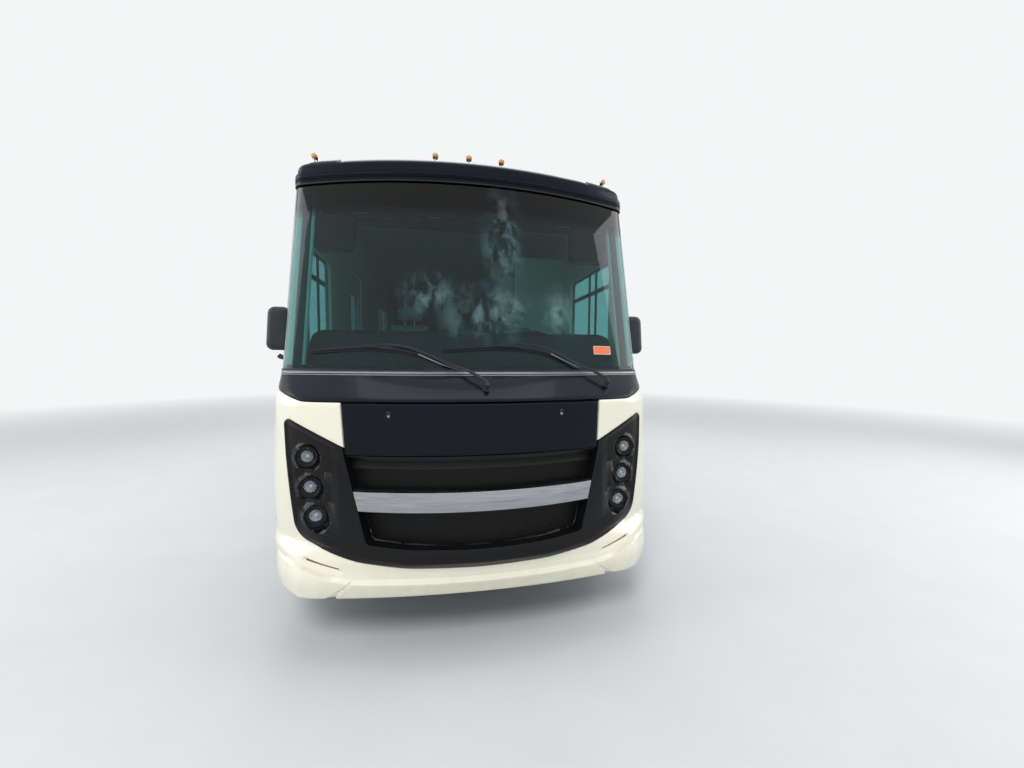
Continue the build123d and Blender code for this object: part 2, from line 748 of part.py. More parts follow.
# Rear axle with its differential, springs and hub spindles
spindle_radius = 55
with BuildPart() as rear_axle:
    with BuildSketch(Plane.YZ.offset(-940)):
        with Locations((rear_axle_y, wheel_centre_z)):
            Circle(spindle_radius)
    extrude(amount=1880)
    with Locations((0, rear_axle_y, wheel_centre_z)):
        Sphere(170)
    with BuildSketch(Plane.XZ.offset(-(rear_axle_y - 250 + running_gap))):
        with Locations((0, wheel_centre_z)):
            Circle(80)
    extrude(amount=-200)
    for side in (-1, 1):
        low, high = side * spring_x - hanger_half, side * spring_x + hanger_half
        spring_low = wheel_centre_z + spindle_radius - 5
        block(rear_axle_y - 700, rear_axle_y + 700, spring_low, spring_low + 60, low, high)
        for end in (-660, 660):
            middle = rear_axle_y + end
            block(middle - hanger_half, middle + hanger_half, spring_low + 55, rail_bottom, low, high)

# Steering knuckles: fork, kingpin and wheel spindle
stub_radius = 40
arm_top = boss_top + running_gap + 40
arm_bottom = boss_bottom - running_gap - 40


def knuckle(side):
    """One knuckle, turned about its kingpin, with the spindle pointing outwards."""
    with BuildPart() as piece:
        with BuildSketch(Plane.XY.offset(arm_bottom)):
            with Locations((side * kingpin_x, front_axle_y)):
                Circle(boss_radius)
            with Locations((side * (kingpin_x + 40), front_axle_y)):
                Rectangle(80, 2 * boss_radius)
        extrude(amount=arm_top - arm_bottom)
        with BuildSketch(Plane.XY.offset(boss_bottom - running_gap)):
            with Locations((side * kingpin_x, front_axle_y)):
                Circle(boss_radius + 6)
        extrude(amount=boss_top - boss_bottom + 2 * running_gap, mode=Mode.SUBTRACT)
        with BuildSketch(Plane.XY.offset(arm_bottom)):
            with Locations((side * kingpin_x, front_axle_y)):
                Circle(kingpin_radius)
        extrude(amount=arm_top - arm_bottom)
        with BuildSketch(Plane.YZ.offset(side * (kingpin_x + 70))):
            with Locations((front_axle_y, wheel_centre_z)):
                Circle(stub_radius)
        extrude(amount=side * 130)
    return piece.part


with BuildPart() as knuckle_left:
    add(knuckle(1))
with BuildPart() as knuckle_right:
    add(knuckle(-1))

# Tyres and rims, as profiles turned about the axle line
tread_half = 100


def tyre(centre_x, axle_y):
    """One road tyre as a solid ring."""
    wheel_plane = Plane(origin=(centre_x, axle_y, wheel_centre_z), x_dir=(1, 0, 0), z_dir=(0, -1, 0))
    half = tyre_width / 2
    with BuildPart() as ring:
        with BuildSketch(wheel_plane):
            with BuildLine():
                Polyline(
                    (-rim_width / 2, bead_radius),
                    (-half, bead_radius + 75),
                    (-half + 4, tyre_radius - 30),
                    (-tread_half, tyre_radius),
                    (tread_half, tyre_radius),
                    (half - 4, tyre_radius - 30),
                    (half, bead_radius + 75),
                    (rim_width / 2, bead_radius),
                    close=True,
                )
            make_face()
        revolve(axis=Axis((centre_x, axle_y, wheel_centre_z), (1, 0, 0)))
    return ring.part


def rim(centre_x, axle_y, outwards, bore_radius, hub_reach):
    """One steel rim: barrel, disc with hand holes and a hub tube on the wheel's face."""
    wheel_plane = Plane(origin=(centre_x, axle_y, wheel_centre_z), x_dir=(1, 0, 0), z_dir=(0, -1, 0))
    with BuildPart() as wheel:
        with BuildSketch(wheel_plane):
            with Locations((0, bead_radius - running_gap - 8)):
                Rectangle(rim_width, 16)
            with Locations((outwards * 70, (bead_radius - 10 + bore_radius) / 2)):
                Rectangle(14, bead_radius - 10 - bore_radius)
            with Locations((outwards * (70 - hub_reach / 2), bore_radius + 30)):
                Rectangle(hub_reach, 60)
        revolve(axis=Axis((centre_x, axle_y, wheel_centre_z), (1, 0, 0)))
        with BuildSketch(Plane.YZ.offset(centre_x)):
            with Locations((axle_y, wheel_centre_z)):
                with PolarLocations(175, 8):
                    Circle(26)
        extrude(amount=120, both=True, mode=Mode.SUBTRACT)
    return wheel.part


with BuildPart() as tyre_front_left:
    add(tyre(front_track_x, front_axle_y))
with BuildPart() as tyre_front_right:
    add(tyre(-front_track_x, front_axle_y))
with BuildPart() as rim_front_left:
    add(rim(front_track_x, front_axle_y, 1, stub_radius + running_gap, 90))
with BuildPart() as rim_front_right:
    add(rim(-front_track_x, front_axle_y, -1, stub_radius + running_gap, 90))
with BuildPart() as tyres_rear_left:
    add(tyre(dual_inner_x, rear_axle_y))
    add(tyre(dual_outer_x, rear_axle_y))
with BuildPart() as tyres_rear_right:
    add(tyre(-dual_inner_x, rear_axle_y))
    add(tyre(-dual_outer_x, rear_axle_y))


def dual_rims(side):
    """Two rear rims, bolted back to back on one hub."""
    with BuildPart() as pair:
        add(rim(side * dual_inner_x, rear_axle_y, side, spindle_radius + running_gap, 60))
        add(rim(side * dual_outer_x, rear_axle_y, -side, spindle_radius + running_gap, 60))
        with BuildSketch(Plane.YZ.offset(side * (dual_inner_x + 70))):
            with Locations((rear_axle_y, wheel_centre_z)):
                Circle(140)
                Circle(spindle_radius + running_gap, mode=Mode.SUBTRACT)
        extrude(amount=side * (dual_outer_x - dual_inner_x - 140))
    return pair.part


with BuildPart() as rims_rear_left:
    add(dual_rims(1))
with BuildPart() as rims_rear_right:
    add(dual_rims(-1))


door_thickness = wall_thickness - 12
door_corner = 54
hatch_corner = 24


def wall_panel(side, opening, corner):
    """A door panel between front, back, bottom and top, set flush in the wall."""
    with BuildPart() as panel:
        extrude(window_face(side * half_width, opening, corner), amount=-side * door_thickness)
    return panel.part


baggage_doors = []
for side, openings in ((1, left_openings), (-1, right_openings)):
    for kind, front, back, bottom, top in openings:
        if kind == "baggage":
            side_name = "left" if side > 0 else "right"
            end_name = "front" if front < 6000 else "rear"
            hatch = (front + door_gap, back - door_gap, bottom + door_gap, top - running_gap)
            with BuildPart() as baggage_door:
                add(wall_panel(side, hatch, hatch_corner))
            baggage_door.part.label = f"baggage_door_{side_name}_{end_name}"
            baggage_doors.append(baggage_door.part)

# Entry door with its window
door_window = (2580, 2980, 1900, 2500)
door_window_corner = 50
with BuildPart() as entry_door:
    add(wall_panel(-1, (2450 + running_gap, 3110 - door_gap, 620 + door_gap, 2720 - door_gap), door_corner))
    door_hole = window_face(-half_width - 1, door_window, door_window_corner)
    extrude(door_hole, amount=wall_thickness + 2, mode=Mode.SUBTRACT)
with BuildPart() as entry_door_glass:
    door_pane = window_face(-half_width + pane_inset - 3, door_window, door_window_corner, running_gap)
    extrude(door_pane, amount=glass_thickness)

# Entry step that slides out under the door
with BuildPart() as entry_step:
    block(step_front, step_back, step_z - step_thickness, step_z, -half_width + 4, guide_inside - 60)

# Slide-out room on the left side, open to the inside
room_front, room_back = 2510, 5290
room_bottom = deck_top + running_gap
room_top = slideout_opening_top - 10
room_depth = 650
room_wall = 40
room_window = (3200, 4600, 1950, 2650)
room_window_corner = 60
flange_reach = 35
flange_thickness = 22
room_inside_x = half_width - room_depth
with BuildPart() as slideout_room:
    front, back = nose_y + room_front, nose_y + room_back
    block(front, back, room_bottom, room_top, room_inside_x, half_width + running_gap)
    block(
        front + room_wall,
        back - room_wall,
        room_bottom + room_wall,
        room_top - room_wall,
        room_inside_x - 1,
        half_width - room_wall,
        mode=Mode.SUBTRACT,
    )
    block(
        front - flange_reach,
        back + flange_reach,
        room_bottom - flange_reach + 5,
        room_top + flange_reach,
        half_width + running_gap,
        half_width + flange_thickness,
    )
    room_hole = window_face(half_width + flange_reach, room_window, room_window_corner)
    extrude(room_hole, amount=-flange_reach - room_wall - 1, mode=Mode.SUBTRACT)
with BuildPart() as slideout_glass:
    room_pane = window_face(half_width + flange_thickness / 2 - 1, room_window, room_window_corner, running_gap)
    extrude(room_pane, amount=-glass_thickness)

# Cab: dashboard, steering wheel, seats and their pedestals
driver_x = 560
dash_back = 1300
dash_profile = [
    (500, 1330),
    (500, 1600),
    (720, 1700),
    (900, 1905),
    (960, 1930),
    (1050, 1925),
    (1130, 1830),
    (1180, 1330),
]
cab_sections = [row[:5] + (dash_back,) for row in mask_sections + windshield_sections[1:]]
with BuildPart() as dashboard:
    with BuildSketch(Plane.YZ.offset(-1180)):
        with BuildLine():
            Polyline(*[(nose_y + y, z) for y, z in dash_profile], close=True)
        make_face()
    extrude(amount=2360)
    add(nose_solid(cab_sections, 30), mode=Mode.INTERSECT)
    block(nose_y + cap_seam, nose_y + 1100, deck_top, 1330, -1180, 1180)

with BuildPart() as steering_wheel:
    column = Plane(origin=(driver_x, nose_y + 1330, 1840), z_dir=(0, 0.55, 0.83))
    with BuildSketch(Plane(origin=column.origin, x_dir=(1, 0, 0), z_dir=(0, 0.83, -0.55))):
        with Locations((220, 0)):
            Circle(16)
    revolve(axis=Axis(column.origin, (0, 0.55, 0.83)))
    with BuildSketch(column.offset(-60)):
        Circle(50)
    extrude(amount=50)
    with BuildSketch(column.offset(-12)):
        with PolarLocations(0, 3):
            with Locations((110, 0)):
                Rectangle(220, 26)
    extrude(amount=10)
    with BuildSketch(column.offset(-60)):
        Circle(30)
    extrude(amount=-290)
    add(dashboard.part, mode=Mode.SUBTRACT)

with BuildPart() as seat_pedestals:
    for side in (-1, 1):
        block(nose_y + 1560, nose_y + 1960, deck_top, 1420, side * driver_x - 180, side * driver_x + 180)

with BuildPart() as seats:
    for side in (-1, 1):
        with BuildSketch(Plane.YZ.offset(side * driver_x - 270)):
            with BuildLine():
                Polyline(
                    (nose_y + 1500, 1420.3),
                    (nose_y + 1500, 1560),
                    (nose_y + 1980, 1540),
                    (nose_y + 2090, 2330),
                    (nose_y + 2220, 2330),
                    (nose_y + 2110, 1420.3),
                    close=True,
                )
            make_face()
        extrude(amount=540)

# Cabinets and partition of the living space
with BuildPart() as interior_cabinets:
    block(nose_y + 1300, nose_y + 1420, 2780, wall_top, -1180, 1180)
    block(nose_y + 6300, nose_y + 6350, deck_top, wall_top, -wall_inside, wall_inside)
    block(nose_y + 6299, nose_y + 6351, deck_top - 1, 3000, -350, 350, mode=Mode.SUBTRACT)
    block(nose_y + 3500, nose_y + 5600, deck_top, 2000, -wall_inside, -wall_inside + 600)

# Outside pieces
mirror_y = nose_y + 1042
mirror_low_z = 1775
mirror_high_z = 2100
mirror_outer_x = 1512
mirror_points = [(1330, mirror_low_z), (1345, mirror_high_z), (1488, mirror_high_z), (mirror_outer_x, mirror_low_z)]
mirror_depth = 110
mirror_corner = 34
mirror_arm_low_z = 1700
mirror_arm_high_z = 1740
mirror_arm_x = 1430
with BuildPart() as mirrors:
    for side in (-1, 1):
        with BuildSketch(Plane.XZ.offset(-(mirror_y - mirror_depth / 2))):
            with BuildLine():
                Polyline(*[(side * x, z) for x, z in mirror_points], close=True)
            make_face()
            fillet(vertices(), radius=mirror_corner)
        extrude(amount=-mirror_depth)
    fillet(mirrors.faces().sort_by(Axis.Y)[:2].edges(), radius=mirror_corner - 8)
    for side in (-1, 1):
        low, high = sorted((side * half_width, side * mirror_arm_x))
        block(mirror_y - 25, mirror_y + 25, mirror_arm_low_z, mirror_arm_high_z, low, high)
        low, high = sorted((side * (mirror_arm_x - 60), side * mirror_arm_x))
        block(mirror_y - 25, mirror_y + 25, mirror_arm_high_z, mirror_low_z + 10, low, high)

# Wipers as X and Z seen from the front: pivot, elbow, link end, blade tip, blade heel
wiper_rows = [
    ((58, 1527), (-427, 1782), (-606, 1800), (-1074, 1753), (-350, 1733)),
    ((905, 1540), (461, 1791), (280, 1813), (-210, 1765), (585, 1733)),
]
blade_depth = 2 - running_gap


def rod(start, end, radius):
    """Adds to the part being built a round rod between two points."""
    run = end - start
    with Locations(Plane(origin=start, z_dir=run).location):
        Cylinder(radius, run.length, align=standing)


with BuildPart() as wipers:
    for pivot, elbow, link_end, tip, heel in wiper_rows:
        pivot_base = skin_point(mask_sections, *pivot, 0)
        pivot_top = pivot_base + Vector(0, -0.56, 0.83) * 48
        elbow_point = skin_point(windshield_sections, *elbow, 42)
        link_point = skin_point(windshield_sections, *link_end, 20)
        add(nose_shell(windshield_sections, blade_depth - 24, blade_depth) & strip_prism(tip, heel, 16))
        rod(pivot_base - Vector(0, -0.56, 0.83) * 20, pivot_top, 15)
        rod(pivot_top - Vector(0, -0.56, 0.83) * 14, elbow_point, 8)
        rod(elbow_point, link_point, 5)
        block(link_point.Y - 8, link_point.Y + 14, tip[1] - 20, link_end[1] + 6, link_end[0] - 6, link_end[0] + 6)
    add(nose_solid(mask_sections, 0), mode=Mode.SUBTRACT)
    add(nose_solid(windshield_sections, blade_depth), mode=Mode.SUBTRACT)

# Bullet-shaped clearance lamps on short feet, as X and distance behind the nose
roof_lamp_rows = [(-1190, 1260), (-265, 1110), (0, 1100), (265, 1110), (1190, 1260)]
roof_lamp_foot = 14
roof_lamp_lift = 34
bullet_profile = [(0, -32), (12, -32), (19, -24), (19, -8), (13, 30), (0, 58)]


def crown_height(x, set_back):
    """Height of the brow's crowned top."""
    rise = roof_crown - roof_shoulder
    crown_radius = (shoulder_x**2 + rise**2) / (2 * rise)
    arc_z = roof_crown - crown_radius + math.sqrt(crown_radius**2 - x**2)
    share = (nose_y + set_back - crown_start_y) / (nose_y + brow_seam - crown_start_y)
    slope_z = crown_start_z + (roof_crown - crown_start_z) * share
    return max(roof_shoulder, min(arc_z, slope_z))


with BuildPart() as clearance_lamps:
    for x, set_back in roof_lamp_rows:
        foot_z = crown_height(abs(x) - min(abs(x), roof_lamp_foot), set_back + roof_lamp_foot) + running_gap
        bullet_origin = (x, nose_y + set_back, foot_z + roof_lamp_lift)
        with Locations((x, nose_y + set_back, foot_z)):
            Cylinder(roof_lamp_foot, roof_lamp_lift, align=standing)
        with BuildSketch(Plane(origin=bullet_origin, x_dir=(1, 0, 0), z_dir=(0, 0, 1))):
            with BuildLine():
                Polyline(*bullet_profile, close=True)
            make_face()
        revolve(axis=Axis(bullet_origin, (0, 1, 0)))
with BuildPart() as side_markers:
    add(nose_shell(mask_sections[:2], 2, cap_skin) & slit_prism(0))

with BuildPart() as roof_units:
    for place in (3300, overall_length - 2200):
        with BuildSketch(Plane.XY.offset(roof_crown + running_gap)):
            with Locations((0, nose_y + place + 500)):
                RectangleRounded(700, 1000, 80)
        extrude(amount=290, taper=12)

with BuildPart() as tail_lamps:
    for side in (-1, 1):
        block(rear_face_y, rear_face_y + 30, 900, 1300, side * 1080 - 50, side * 1080 + 50)

with BuildPart() as ladder:
    for x in (-950, -590):
        block(rear_face_y + 60, rear_face_y + 86, 900, roof_edge - 10, x - 13, x + 13)
        for z in (1000, 2000, 3150):
            block(rear_face_y, rear_face_y + 62, z - 12, z + 12, x - 12, x + 12)
    for step in range(8):
        block(rear_face_y + 62, rear_face_y + 84, 980 + 290 * step, 1002 + 290 * step, -950, -590)

rear_bumper_bottom = 430
with BuildPart() as rear_bumper:
    block(rear_face_y, tail_y - 30, rear_bumper_bottom, rear_bumper_bottom + 170, 90 - half_width, half_width - 90)
    fillet(rear_bumper.edges().filter_by(Axis.Z).group_by(Axis.Y)[-1], radius=60)

with BuildPart() as awning:
    with BuildSketch(Plane.XZ.offset(-(nose_y + 2300))):
        with Locations((-half_width - 62, 3080)):
            Circle(55)
        with Locations((-half_width - 20, 3080)):
            Rectangle(40, 60)
    extrude(amount=-5000)

pieces = {
    "front_bumper": front_bumper, "front_mask": front_mask, "cowl": cowl, "hood_panel": hood_panel,
    "lamp_surround": lamp_surround, "grille_mesh": grille_mesh, "grille_bar": grille_bar,
    "headlamps": headlamps, "windshield": windshield, "brow": brow, "sidewall_left": sidewall_left,
    "sidewall_right": sidewall_right, "side_glass": side_glass, "rear_wall": rear_wall,
    "roof": roof, "floor": floor, "floor_bearers": floor_bearers, "wheel_housings": wheel_housings,
    "baggage_bays": baggage_bays, "chassis_frame": chassis_frame, "driveline": driveline,
    "radiator": radiator, "fuel_tank": fuel_tank, "front_axle": front_axle, "rear_axle": rear_axle,
    "knuckle_left": knuckle_left, "knuckle_right": knuckle_right,
    "tyre_front_left": tyre_front_left, "tyre_front_right": tyre_front_right,
    "rim_front_left": rim_front_left, "rim_front_right": rim_front_right,
    "tyres_rear_left": tyres_rear_left, "tyres_rear_right": tyres_rear_right,
    "rims_rear_left": rims_rear_left, "rims_rear_right": rims_rear_right, "entry_door": entry_door,
    "entry_door_glass": entry_door_glass, "entry_step": entry_step, "step_well": step_well,
    "slideout_room": slideout_room, "slideout_glass": slideout_glass, "dashboard": dashboard,
    "steering_wheel": steering_wheel, "seat_pedestals": seat_pedestals, "seats": seats,
    "interior_cabinets": interior_cabinets, "mirrors": mirrors, "wipers": wipers,
    "clearance_lamps": clearance_lamps, "side_markers": side_markers, "roof_units": roof_units,
    "tail_lamps": tail_lamps, "ladder": ladder, "rear_bumper": rear_bumper, "awning": awning,
}
for name, piece in pieces.items():
    piece.part.label = name
    export_step(piece.part, f"parts/{name}.step")
for door in baggage_doors:
    export_step(door, f"parts/{door.label}.step")
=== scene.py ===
# Looks of the Class A motorhome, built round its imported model.
# Metres: X to the vehicle's left side, Y from the nose to the tail, Z up from the ground.
import math
import bmesh
import bpy
import numpy as np
from mathutils import Matrix, Vector, geometry


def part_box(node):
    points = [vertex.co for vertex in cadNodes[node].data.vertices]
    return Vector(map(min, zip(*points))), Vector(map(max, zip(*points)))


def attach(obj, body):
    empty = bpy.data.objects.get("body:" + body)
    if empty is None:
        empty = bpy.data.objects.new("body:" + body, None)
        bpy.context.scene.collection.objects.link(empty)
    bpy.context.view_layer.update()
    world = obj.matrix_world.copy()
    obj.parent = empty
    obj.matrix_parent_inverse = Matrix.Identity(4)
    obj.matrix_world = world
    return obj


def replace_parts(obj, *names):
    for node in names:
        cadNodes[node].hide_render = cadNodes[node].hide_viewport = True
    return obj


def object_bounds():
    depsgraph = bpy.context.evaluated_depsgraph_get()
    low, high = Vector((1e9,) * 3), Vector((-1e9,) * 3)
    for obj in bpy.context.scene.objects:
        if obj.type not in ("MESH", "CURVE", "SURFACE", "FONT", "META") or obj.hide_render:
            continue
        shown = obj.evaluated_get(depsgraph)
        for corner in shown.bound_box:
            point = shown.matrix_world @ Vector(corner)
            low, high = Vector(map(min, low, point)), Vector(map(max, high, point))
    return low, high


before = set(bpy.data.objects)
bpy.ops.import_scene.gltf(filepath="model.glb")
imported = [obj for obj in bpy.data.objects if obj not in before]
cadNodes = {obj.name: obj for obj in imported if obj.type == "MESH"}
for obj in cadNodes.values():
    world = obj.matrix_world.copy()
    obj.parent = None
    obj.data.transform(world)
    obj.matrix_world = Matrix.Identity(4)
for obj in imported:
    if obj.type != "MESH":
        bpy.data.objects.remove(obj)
cadLow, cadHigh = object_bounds()
noseY = cadLow.y
print("frame loaded:", len(cadNodes), "nodes")

# Materials

def linearColour(hexCode):
    channels = [int(hexCode[i:i + 2], 16) / 255 for i in (1, 3, 5)]
    return [c / 12.92 if c <= 0.04045 else ((c + 0.055) / 1.055) ** 2.4 for c in channels] + [1.0]


def addNode(tree, kind, settings=None, links=None):
    node = tree.nodes.new(kind)
    for key, value in (settings or {}).items():
        if isinstance(key, int) or key in node.inputs:
            node.inputs[key].default_value = value
        else:
            setattr(node, key, value)
    for key, source in (links or {}).items():
        tree.links.new(source, node.inputs[key])
    return node


def newMaterial(name, baseHex, **shader):
    material = bpy.data.materials.new(name)
    material.use_nodes = True
    tree = material.node_tree
    tree.nodes.clear()
    surface = addNode(tree, "ShaderNodeBsdfPrincipled", {"Base Color": linearColour(baseHex), **shader})
    addNode(tree, "ShaderNodeOutputMaterial", links={"Surface": surface.outputs[0]})
    material.diffuse_color = linearColour(baseHex)
    return material, tree, surface


def showInstead(tree, shader):
    # puts another shader in the place of the surface
    end = [n for n in tree.nodes if n.type == "OUTPUT_MATERIAL"][0]
    tree.links.new(shader.outputs[0], end.inputs["Surface"])


def noise(tree, scale, detail=2.0, roughness=0.5, stretch=(1, 1, 1)):
    place = addNode(tree, "ShaderNodeTexCoord").outputs["Object"]
    mapped = addNode(tree, "ShaderNodeMapping", {"Scale": stretch}, {"Vector": place})
    made = addNode(
        tree, "ShaderNodeTexNoise", {"Scale": scale, "Detail": detail, "Roughness": roughness},
        {"Vector": mapped.outputs[0]},
    )
    return made.outputs["Fac"]


cellKinds = {"cells": {}, "edges": {"feature": "DISTANCE_TO_EDGE"}, "pillows": {"Randomness": 0.0}}


def patternOf(tree, kind, scale, *more):
    # noise also takes its detail, roughness and stretch, a weave its distortion
    if kind == "noise":
        return noise(tree, scale, *more)
    place = addNode(tree, "ShaderNodeTexCoord").outputs["Object"]
    if kind == "weave":
        settings = {"Scale": scale, "Distortion": more[0] if more else 0.0}
        return addNode(tree, "ShaderNodeTexWave", settings, {"Vector": place}).outputs["Fac"]
    cells = addNode(tree, "ShaderNodeTexVoronoi", {"Scale": scale, **cellKinds[kind]}, {"Vector": place})
    return cells.outputs["Distance"]


def ramp(tree, source, low, high, start=0.0, end=1.0):
    made = addNode(
        tree, "ShaderNodeMapRange", {"From Min": start, "From Max": end, "To Min": low, "To Max": high},
        {"Value": source},
    )
    return made.outputs["Result"]


def blendColour(tree, factor, first, second):
    made = addNode(tree, "ShaderNodeMix", {"data_type": "RGBA"}, {0: factor})
    for index, colour in ((6, first), (7, second)):
        if isinstance(colour, str):
            made.inputs[index].default_value = linearColour(colour)
        else:
            tree.links.new(colour, made.inputs[index])
    return made.outputs[2]


def bump(tree, surface, height, distance, strength=1.0):
    made = addNode(tree, "ShaderNodeBump", {"Distance": distance, "Strength": strength}, {"Height": height})
    tree.links.new(made.outputs[0], surface.inputs["Normal"])


def heightBand(tree, low, high):
    # share of the way up between two heights above the ground
    place = addNode(tree, "ShaderNodeTexCoord").outputs["Object"]
    parts = addNode(tree, "ShaderNodeSeparateXYZ", links={0: place})
    return ramp(tree, parts.outputs["Z"], 0.0, 1.0, low, high)


def gelcoatIvory():
    # ivory gelcoat on moulded fibreglass: creamy, glossy, faint orange peel, road dust low down
    material, tree, surface = newMaterial(
        "gelcoatIvory", "#F1EBD5", Roughness=0.22, **{"Coat Weight": 0.5, "Coat Roughness": 0.06, "IOR": 1.5})
    body = blendColour(tree, ramp(tree, noise(tree, 0.9, 3), 0.0, 1.0, 0.3, 0.7), "#F4F0DC", "#F0EAD5")
    dustFall = addNode(tree, "ShaderNodeMath", {"operation": "MULTIPLY"}, {
        0: ramp(tree, noise(tree, 14, 6, 0.6), 0.0, 0.5, 0.45, 0.8), 1: heightBand(tree, 0.62, 0.36)})
    dusty = blendColour(tree, dustFall.outputs[0], sideBands(tree, body), "#D8CFB8")
    tree.links.new(dusty, surface.inputs["Base Color"])
    tree.links.new(ramp(tree, dustFall.outputs[0], 0.2, 0.4), surface.inputs["Roughness"])
    bump(tree, surface, noise(tree, 160, 2), 0.0004, 0.12)
    return material


bandLines = {
    # height at the front and fall to the tail, of the low and high edge of each painted band
    "night": ((1.500, -0.052), (1.655, -0.020)), "champagne": ((1.440, -0.0545), (1.474, -0.0525)),
}


def sideBands(tree, body):
    # the cowl's dark colour runs back along the sides in a band, a thin champagne line under it
    place = addNode(tree, "ShaderNodeTexCoord").outputs["Object"]
    parts = addNode(tree, "ShaderNodeSeparateXYZ", links={0: place})
    back = ramp(tree, parts.outputs["Y"], 0.0, 9.37, noseY, noseY + 9.37)
    behindCap = ramp(tree, parts.outputs["Y"], 0.0, 1.0, noseY + 0.776, noseY + 0.778)
    for name, colour in (("champagne", "#9C8F78"), ("night", "#0E1420")):
        mask = behindCap
        for (start, fall), way in zip(bandLines[name], (1, -1)):
            line = addNode(tree, "ShaderNodeMath", {"operation": "MULTIPLY_ADD", 1: fall, 2: start}, {0: back})
            over = addNode(tree, "ShaderNodeMath", {"operation": "SUBTRACT"}, {
                0: parts.outputs["Z"], 1: line.outputs[0]})
            here = ramp(tree, over.outputs[0], 0.0, 1.0, -0.001 * way, 0.001 * way)
            mask = addNode(tree, "ShaderNodeMath", {"operation": "MULTIPLY"}, {0: mask, 1: here}).outputs[0]
        body = blendColour(tree, mask, body, colour)
    return body


def clearcoatNight():
    # blue-black metallic base coat under clearcoat: deep colour, fine flake, mirror gloss
    material, tree, surface = newMaterial(
        "clearcoatNight", "#0C111A", Roughness=0.26, Metallic=0.2,
        **{"Coat Weight": 0.07, "Coat Roughness": 0.03, "Specular IOR Level": 0.12, "IOR": 1.5})
    place = addNode(tree, "ShaderNodeTexCoord").outputs["Object"]
    flake = addNode(tree, "ShaderNodeTexVoronoi", {"Scale": 650.0}, {"Vector": place})
    tone = blendColour(tree, ramp(tree, flake.outputs["Color"], 0.0, 1.0, 0.3, 1.0), "#090D14", "#141C2A")
    tree.links.new(tone, surface.inputs["Base Color"])
    bump(tree, surface, noise(tree, 140, 2), 0.0003, 0.08)
    return material


glassRanges = {"sunBandLow": 2.715, "sunBandHigh": 2.80}


def laminatedGlass():
    # green-tinted laminated windshield glass with a dark blue sun band along its top, and a pale film on it: painted
    # sky reflection and dust
    material, tree, surface = newMaterial(
        "laminatedGlass", "#8FC6CA", Roughness=0.0, **{"Transmission Weight": 1.0, "IOR": 1.33})
    band = heightBand(tree, glassRanges["sunBandLow"], glassRanges["sunBandHigh"])
    tinted = blendColour(tree, band, "#8CC4C8", "#123044")
    # pale film: painted sky reflection down the middle, dried water and dust lower down
    film = skyGlareAndDust(tree)
    tree.links.new(blendColour(tree, film, tinted, "#B4C4BF"), surface.inputs["Base Color"])
    tree.links.new(ramp(tree, film, 1.0, 0.72), surface.inputs["Transmission Weight"])
    return throughLight(material, tree, surface, "#A9D3D3")


def skyGlareAndDust(tree):
    # painted sky reflection as a pale streak down the middle, with dried water and dust spreading into two lobes low on
    # the glass
    place = addNode(tree, "ShaderNodeTexCoord").outputs["Object"]
    spread = None
    for centre, size in (((0.22, 2.62), (0.16, 0.42)), ((0.10, 2.02), (0.34, 0.22)), ((0.62, 2.05), (0.16, 0.20)),
                         ((-0.30, 2.15), (0.20, 0.16))):
        mapped = addNode(tree, "ShaderNodeMapping", {
            "Location": (-centre[0] / size[0], 0, -centre[1] / size[1]), "Scale": (1 / size[0], 0, 1 / size[1])},
            {"Vector": place})
        away = addNode(tree, "ShaderNodeVectorMath", {"operation": "LENGTH"}, {0: mapped.outputs[0]})
        here = ramp(tree, away.outputs["Value"], 1.0, 0.0, 0.2, 1.15)
        if spread is None:
            spread = here
        else:
            spread = addNode(tree, "ShaderNodeMath", {"operation": "MAXIMUM"}, {0: spread, 1: here}).outputs[0]
    specks = ramp(tree, noise(tree, 9, 10, 0.74, stretch=(1, 1, 0.55)), 0.0, 1.0, 0.44, 0.66)
    both = addNode(tree, "ShaderNodeMath", {"operation": "MULTIPLY"}, {0: spread, 1: specks})
    return both.outputs[0]


def privacyGlass():
    # dark tempered side glass: green-grey, lets the room behind it show faintly
    material, tree, surface = newMaterial(
        "privacyGlass", "#5F7C7E", Roughness=0.01, **{"Transmission Weight": 0.96, "IOR": 1.4})
    place = addNode(tree, "ShaderNodeSeparateXYZ", links={0: addNode(tree, "ShaderNodeTexCoord").outputs["Object"]})
    behind = ramp(tree, place.outputs["Y"], 0.0, 1.0, noseY + 2.25, noseY + 2.35)
    tree.links.new(blendColour(tree, behind, "#A8D3D2", "#5F7C7E"), surface.inputs["Base Color"])
    tree.links.new(ramp(tree, noise(tree, 3, 2), 0.0, 0.02), surface.inputs["Roughness"])
    return throughLight(material, tree, surface, "#7C9394")


def throughLight(material, tree, surface, tintHex):
    # lamps reach what is behind the glass, in its own tint
    clear = addNode(tree, "ShaderNodeBsdfTransparent", {"Color": linearColour(tintHex)})
    path = addNode(tree, "ShaderNodeLightPath")
    both = addNode(tree, "ShaderNodeMixShader", links={
        0: path.outputs["Is Shadow Ray"], 1: surface.outputs[0], 2: clear.outputs[0]})
    showInstead(tree, both)
    return material


def lensClear():
    # clear polycarbonate lamp lens
    material, tree, surface = newMaterial(
        "lensClear", "#F2F6F8", Roughness=0.02, **{"Transmission Weight": 1.0, "IOR": 1.45})
    tree.links.new(ramp(tree, noise(tree, 40, 3), 0.0, 0.04), surface.inputs["Roughness"])
    return throughLight(material, tree, surface, "#EEF2F4")


